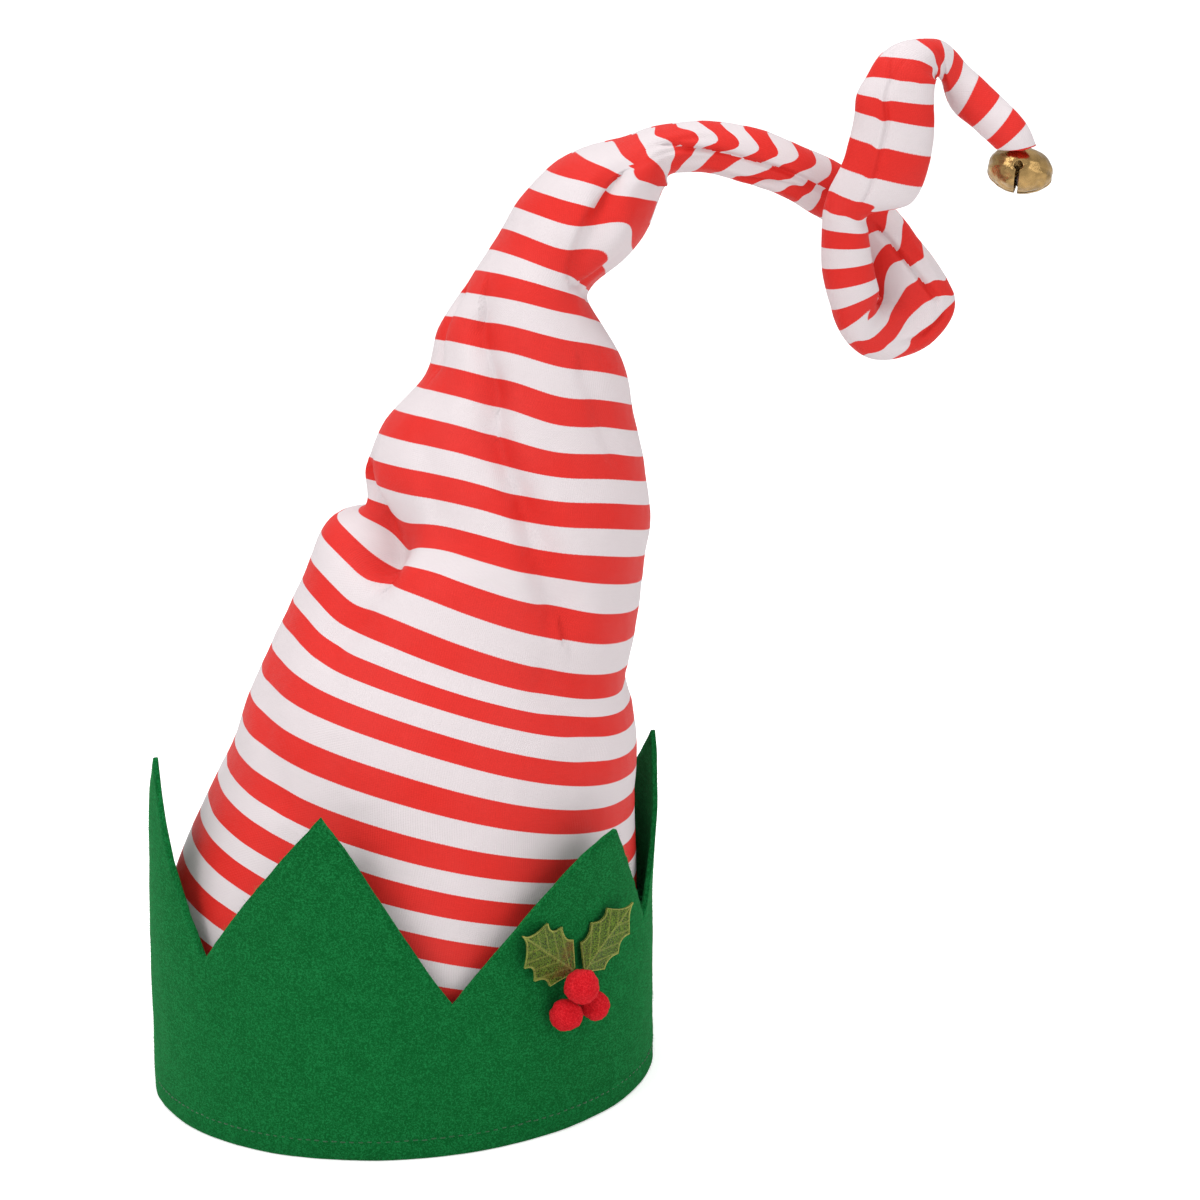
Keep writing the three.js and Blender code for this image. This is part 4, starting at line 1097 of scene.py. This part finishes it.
class ELFHAT_OT_leaves(bpy.types.Operator):
    """Two thin holly leaves with pressed veins and a gold outline."""

    bl_idname = "elfhat.leaves"
    bl_label = "Make the holly leaves"
    bl_options = {"REGISTER", "UNDO"}

    def execute(self, context):
        sizes, colours = context.scene.elf_hat_sizes, context.scene.elf_hat_colours
        cloth = leaf_material(colours)
        for leaf in LEAVES:
            self.leaf(sizes, leaf, cloth)
        return {"FINISHED"}

    def leaf(self, sizes, leaf, cloth):
        angle = math.radians(leaf["angle"])
        out = np.array([math.cos(angle), math.sin(angle), 0])
        round_it = np.array([-math.sin(angle), math.cos(angle), 0]) * leaf["way"]
        rise = math.radians(leaf["rise"])
        along_axis = round_it * math.cos(rise) + np.array([0, 0, 1]) * math.sin(rise)
        side_axis = np.cross(along_axis, out)
        length = sizes.leaf_length
        half = length * leaf["width"]
        height = leaf["height"] / 1000
        start = out * (sizes.band_radius + LEAF_OFF_BAND)
        start = start + np.array([BAND_SLANT * height, 0, height])
        s = np.linspace(0, 1, 92)
        t = np.linspace(-1, 1, 41)
        edge = leaf_edge(s, LEAF_SPINES)
        S, T = np.meshgrid(s, t, indexing="ij")
        across = T * edge[:, None]
        curve = leaf["lift"] / 1000 * S**2
        ridge = half * 0.12 * (1 - np.abs(across)) * np.minimum(1, 4 * (1 - S))
        veins = np.exp(-((across / 0.035) ** 2)) * (S > 0.02)
        for root in VEIN_ROOTS:
            line = S - root - np.abs(across) * 0.42
            veins = np.maximum(veins, np.exp(-((line / 0.012) ** 2)) * (np.abs(across) > 0.02))
        rim = np.exp(-(((1 - np.abs(T)) * edge[:, None] * half) / 0.0005) ** 2)
        gold = np.clip(np.maximum(veins * 0.45, rim), 0, 1)
        lift = curve + ridge + gold * 0.0002
        place = start + along_axis * (S * length)[..., None] + side_axis * (across * half)[..., None]
        top = place + out * (lift + LEAF_HALF)[..., None]
        under = place + out * (curve + ridge - LEAF_HALF)[..., None]
        rows, columns = S.shape
        verts = np.concatenate([top.reshape(-1, 3), under.reshape(-1, 3)])
        base = rows * columns
        faces = grid_faces(rows, columns, False) + grid_faces(rows, columns, False, base, flip=True)
        ids = np.arange(base).reshape(rows, columns)
        ids = [*ids[:, 0], *ids[-1, 1:], *ids[-2::-1, -1], *ids[0, -2:0:-1]]
        ids = [int(i) for i in ids]
        for a, b in zip(ids, ids[1:] + ids[:1]):
            faces.append([b, a, a + base, b + base])
        piece = new_piece(leaf["name"] + "_cloth", verts, faces, cloth)
        brown = np.clip(1 - S / 0.45, 0, 1) * leaf["scorch"]
        mark(piece, "gold", np.concatenate([gold.ravel(), gold.ravel() * 0]))
        mark(piece, "brown", np.concatenate([brown.ravel(), brown.ravel() * 0]))
        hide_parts(leaf["name"])
        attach(piece, "root")


class ELFHAT_OT_berries(bpy.types.Operator):
    """Three slightly lumpy felt balls."""

    bl_idname = "elfhat.berries"
    bl_label = "Make the berries"
    bl_options = {"REGISTER", "UNDO"}

    def execute(self, context):
        sizes, colours = context.scene.elf_hat_sizes, context.scene.elf_hat_colours
        loose = shaded(colours.berry, 1.5, 0.02)
        felt = felt_material("red_felt", colours.berry, loose, 1900.0, 0.15)
        for number, berry in enumerate(BERRIES):
            radius = sizes.berry_radius * berry["size"]
            reach = sizes.band_radius + PIECE_GAP + radius + berry["off"] / 1000
            angle, height = math.radians(berry["angle"]), berry["height"] / 1000
            centre = np.array([
                reach * math.cos(angle) + BAND_SLANT * height, reach * math.sin(angle), height])
            rows, columns = 40, 64
            lat = np.radians(np.linspace(-88, 88, rows))
            lon = np.linspace(0, math.tau, columns, endpoint=False)
            way = np.stack([
                np.cos(lat)[:, None] * np.cos(lon), np.cos(lat)[:, None] * np.sin(lon),
                np.repeat(np.sin(lat)[:, None], columns, 1)], -1).reshape(-1, 3)
            ball = roughen(way * radius * BERRY_SKIN, way, 0.0045, 0.0005, number + 5) + centre
            poles = np.array([[0, 0, -radius * BERRY_SKIN], [0, 0, radius * BERRY_SKIN]]) + centre
            verts = np.concatenate([ball, poles])
            low, high = len(verts) - 2, len(verts) - 1
            top = (rows - 1) * columns
            faces = grid_faces(rows, columns, True)
            faces += [[(j + 1) % columns, j, low] for j in range(columns)]
            faces += [[top + j, top + (j + 1) % columns, high] for j in range(columns)]
            piece = new_piece(berry["name"] + "_felt", verts, faces, felt)
            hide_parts(berry["name"])
            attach(piece, "root")
        return {"FINISHED"}


# Bell


class ELFHAT_OT_bell(bpy.types.Operator):
    """The bell, with crossed slits between its four petals, and its pellet."""

    bl_idname = "elfhat.bell"
    bl_label = "Make the bell"
    bl_options = {"REGISTER", "UNDO"}

    def execute(self, context):
        sizes, colours = context.scene.elf_hat_sizes, context.scene.elf_hat_colours
        low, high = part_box("bell")
        centre = (low + high) / 2
        brass = metal_material("bell_brass", colours.brass, 0.16, 0.75, 0.35)
        r, h = sizes.bell_radius, sizes.bell_half
        slit_top = SLIT_TOP * h
        rows, columns = 72, 34
        quarter = math.tau / PETALS
        lat = np.linspace(-math.pi / 2 * 0.985, math.pi / 2 * 0.985, rows)
        verts, faces = [], []
        for petal in range(PETALS):
            base = len(verts)
            for a in lat:
                radius, z = r * math.cos(a), h * math.sin(a)
                gap = SLIT_HALF if z < slit_top else 0.0
                hole = SLIT_HOLE**2 - (z - slit_top) ** 2
                if hole > 0:
                    gap = max(gap, math.sqrt(hole))
                gap = min(gap, radius * 0.7)
                start = math.asin(min(0.7, gap / radius)) if gap > 0 else 0.0
                waist = 1 - 0.035 * math.exp(-((z / (0.14 * h)) ** 2))
                for c in range(columns):
                    b = petal * quarter + start + (quarter - 2 * start) * (c / (columns - 1))
                    verts.append((radius * math.cos(b) * waist, radius * math.sin(b) * waist, z))
            faces += [[f + base for f in q] for q in grid_faces(rows, columns, False)]
        way = np.array(verts)
        way /= np.linalg.norm(way, axis=1, keepdims=True)
        dented = roughen(np.array(verts), way, 0.009, 0.0005, 9)
        bell = new_piece("bell_shell", dented, faces, brass)
        self.close_up(bell, sizes)
        placed = Matrix.Translation(centre)
        for degrees, axis in BELL_TURNS:
            placed = placed @ Matrix.Rotation(math.radians(degrees), 4, axis)
        bell.data.transform(placed)
        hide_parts("bell")
        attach(bell, "root")
        steel = metal_material("pellet_steel", colours.steel, 0.35, 0.3, 0.2)
        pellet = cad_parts["bell_pellet"]
        pellet.data.materials.clear()
        pellet.data.materials.append(steel)
        pellet.data.polygons.foreach_set("use_smooth", [True] * len(pellet.data.polygons))
        return {"FINISHED"}

    def close_up(self, bell, sizes):
        """Joins the petals above the slits and gives the metal its thickness."""
        mesh = bmesh.new()
        mesh.from_mesh(bell.data)
        bmesh.ops.remove_doubles(mesh, verts=mesh.verts, dist=0.00002)
        above = 0.5 * sizes.bell_half
        edges = [e for e in mesh.edges if e.is_boundary and all(v.co.z > above for v in e.verts)]
        bmesh.ops.holes_fill(mesh, edges=edges, sides=0)
        bmesh.ops.recalc_face_normals(mesh, faces=mesh.faces)
        mesh.to_mesh(bell.data)
        mesh.free()
        bell.data.polygons.foreach_set("use_smooth", [True] * len(bell.data.polygons))
        thick = bell.modifiers.new("wall", "SOLIDIFY")
        thick.thickness = sizes.bell_wall
        thick.offset = -1


# Stage


class ELFHAT_OT_stage(bpy.types.Operator):
    """A pale floor, soft studio light and the camera."""

    bl_idname = "elfhat.stage"
    bl_label = "Make the stage"
    bl_options = {"REGISTER", "UNDO"}

    def execute(self, context):
        scene = context.scene
        colours = scene.elf_hat_colours
        scene.view_settings.view_transform = "Standard"
        scene.view_settings.look = "None"
        material, tree, shader = new_material("floor_paper", Roughness=0.9)
        wear = worn(tree, object_place(tree), 2.0, 700.0)
        mottled = times(tree, wear.outputs["Clouds"], 0.1)
        tone = blended(tree, mottled, colours.floor, shaded(colours.floor, 0.98))
        tree.links.new(tone, shader.inputs["Base Color"])
        tree.links.new(tone, shader.inputs["Emission Color"])
        seen = node(tree, "ShaderNodeLightPath").outputs["Is Camera Ray"]
        tree.links.new(times(tree, seen, 0.5), shader.inputs["Emission Strength"])
        corners = [(-15, -15, 0), (15, -15, 0), (15, 25, 0), (-15, 25, 0)]
        floor = new_piece("floor", corners, [[0, 1, 2, 3]], material, False)
        floor.location.z = -0.0002
        self.place_lights(context)
        self.place_camera(context)
        return {"FINISHED"}

    def place_lights(self, context):
        """A white surround, brighter to the camera, and three soft lamps."""
        world = bpy.data.worlds.new("studio")
        world.use_nodes = True
        sky = world.node_tree
        seen = node(sky, "ShaderNodeLightPath").outputs["Is Camera Ray"]
        background = sky.nodes["Background"]
        background.inputs[0].default_value = (1, 1, 1, 1)
        sky.links.new(plus(sky, times(sky, seen, 0.34), 0.66), background.inputs[1])
        context.scene.world = world
        for name, place, size, power in LIGHTS:
            light = bpy.data.lights.new(name, "AREA")
            light.size, light.energy = size, power
            lamp = bpy.data.objects.new(name, light)
            context.collection.objects.link(lamp)
            lamp.location = place
            lamp.rotation_mode = "QUATERNION"
            lamp.rotation_quaternion = (Vector(LIT_PLACE) - Vector(place)).to_track_quat("-Z", "Y")

    def place_camera(self, context):
        """The camera at the photograph's angle."""
        view = bpy.data.cameras.new("photo_view")
        view.sensor_width = SENSOR
        view.lens = PHOTO_FOCAL * SENSOR / PHOTO_WIDTH
        camera = bpy.data.objects.new("photo_view", view)
        context.collection.objects.link(camera)
        ahead = Vector((0, math.cos(CAMERA_LIFT), -math.sin(CAMERA_LIFT)))
        camera.location = Vector(CAMERA_AIM) - ahead * CAMERA_FAR
        camera.rotation_mode = "QUATERNION"
        look = ahead.to_track_quat("-Z", "Y")
        roll = Matrix.Rotation(-CAMERA_ROLL, 3, "Z").to_quaternion()
        camera.rotation_quaternion = look @ roll
        context.scene.camera = camera


class ELFHAT_PT_panel(bpy.types.Panel):
    """The buttons that make the hat, and its sizes and colours."""

    bl_idname = "ELFHAT_PT_panel"
    bl_label = "Elf hat"
    bl_space_type = "VIEW_3D"
    bl_region_type = "UI"
    bl_category = "Elf hat"

    def draw(self, context):
        for operator in OPERATORS:
            self.layout.operator(operator.bl_idname)
        for group in (context.scene.elf_hat_sizes, context.scene.elf_hat_colours):
            for name in group.bl_rna.properties.keys():
                if name not in ("rna_type", "name"):
                    self.layout.prop(group, name)


OPERATORS = (
    ELFHAT_OT_stage, ELFHAT_OT_band, ELFHAT_OT_crown,
    ELFHAT_OT_leaves, ELFHAT_OT_berries, ELFHAT_OT_bell,
)
CLASSES = (HatSizes, HatColours, *OPERATORS, ELFHAT_PT_panel)


def register():
    for cls in CLASSES:
        bpy.utils.register_class(cls)
    bpy.types.Scene.elf_hat_sizes = bpy.props.PointerProperty(type=HatSizes)
    bpy.types.Scene.elf_hat_colours = bpy.props.PointerProperty(type=HatColours)


def unregister():
    del bpy.types.Scene.elf_hat_colours
    del bpy.types.Scene.elf_hat_sizes
    for cls in reversed(CLASSES):
        bpy.utils.unregister_class(cls)


def main():
    register()
    bpy.ops.elfhat.stage()
    bpy.ops.elfhat.band()
    bpy.ops.elfhat.crown()
    bpy.ops.elfhat.leaves()
    bpy.ops.elfhat.berries()
    bpy.ops.elfhat.bell()


if __name__ == "__main__":
    main()
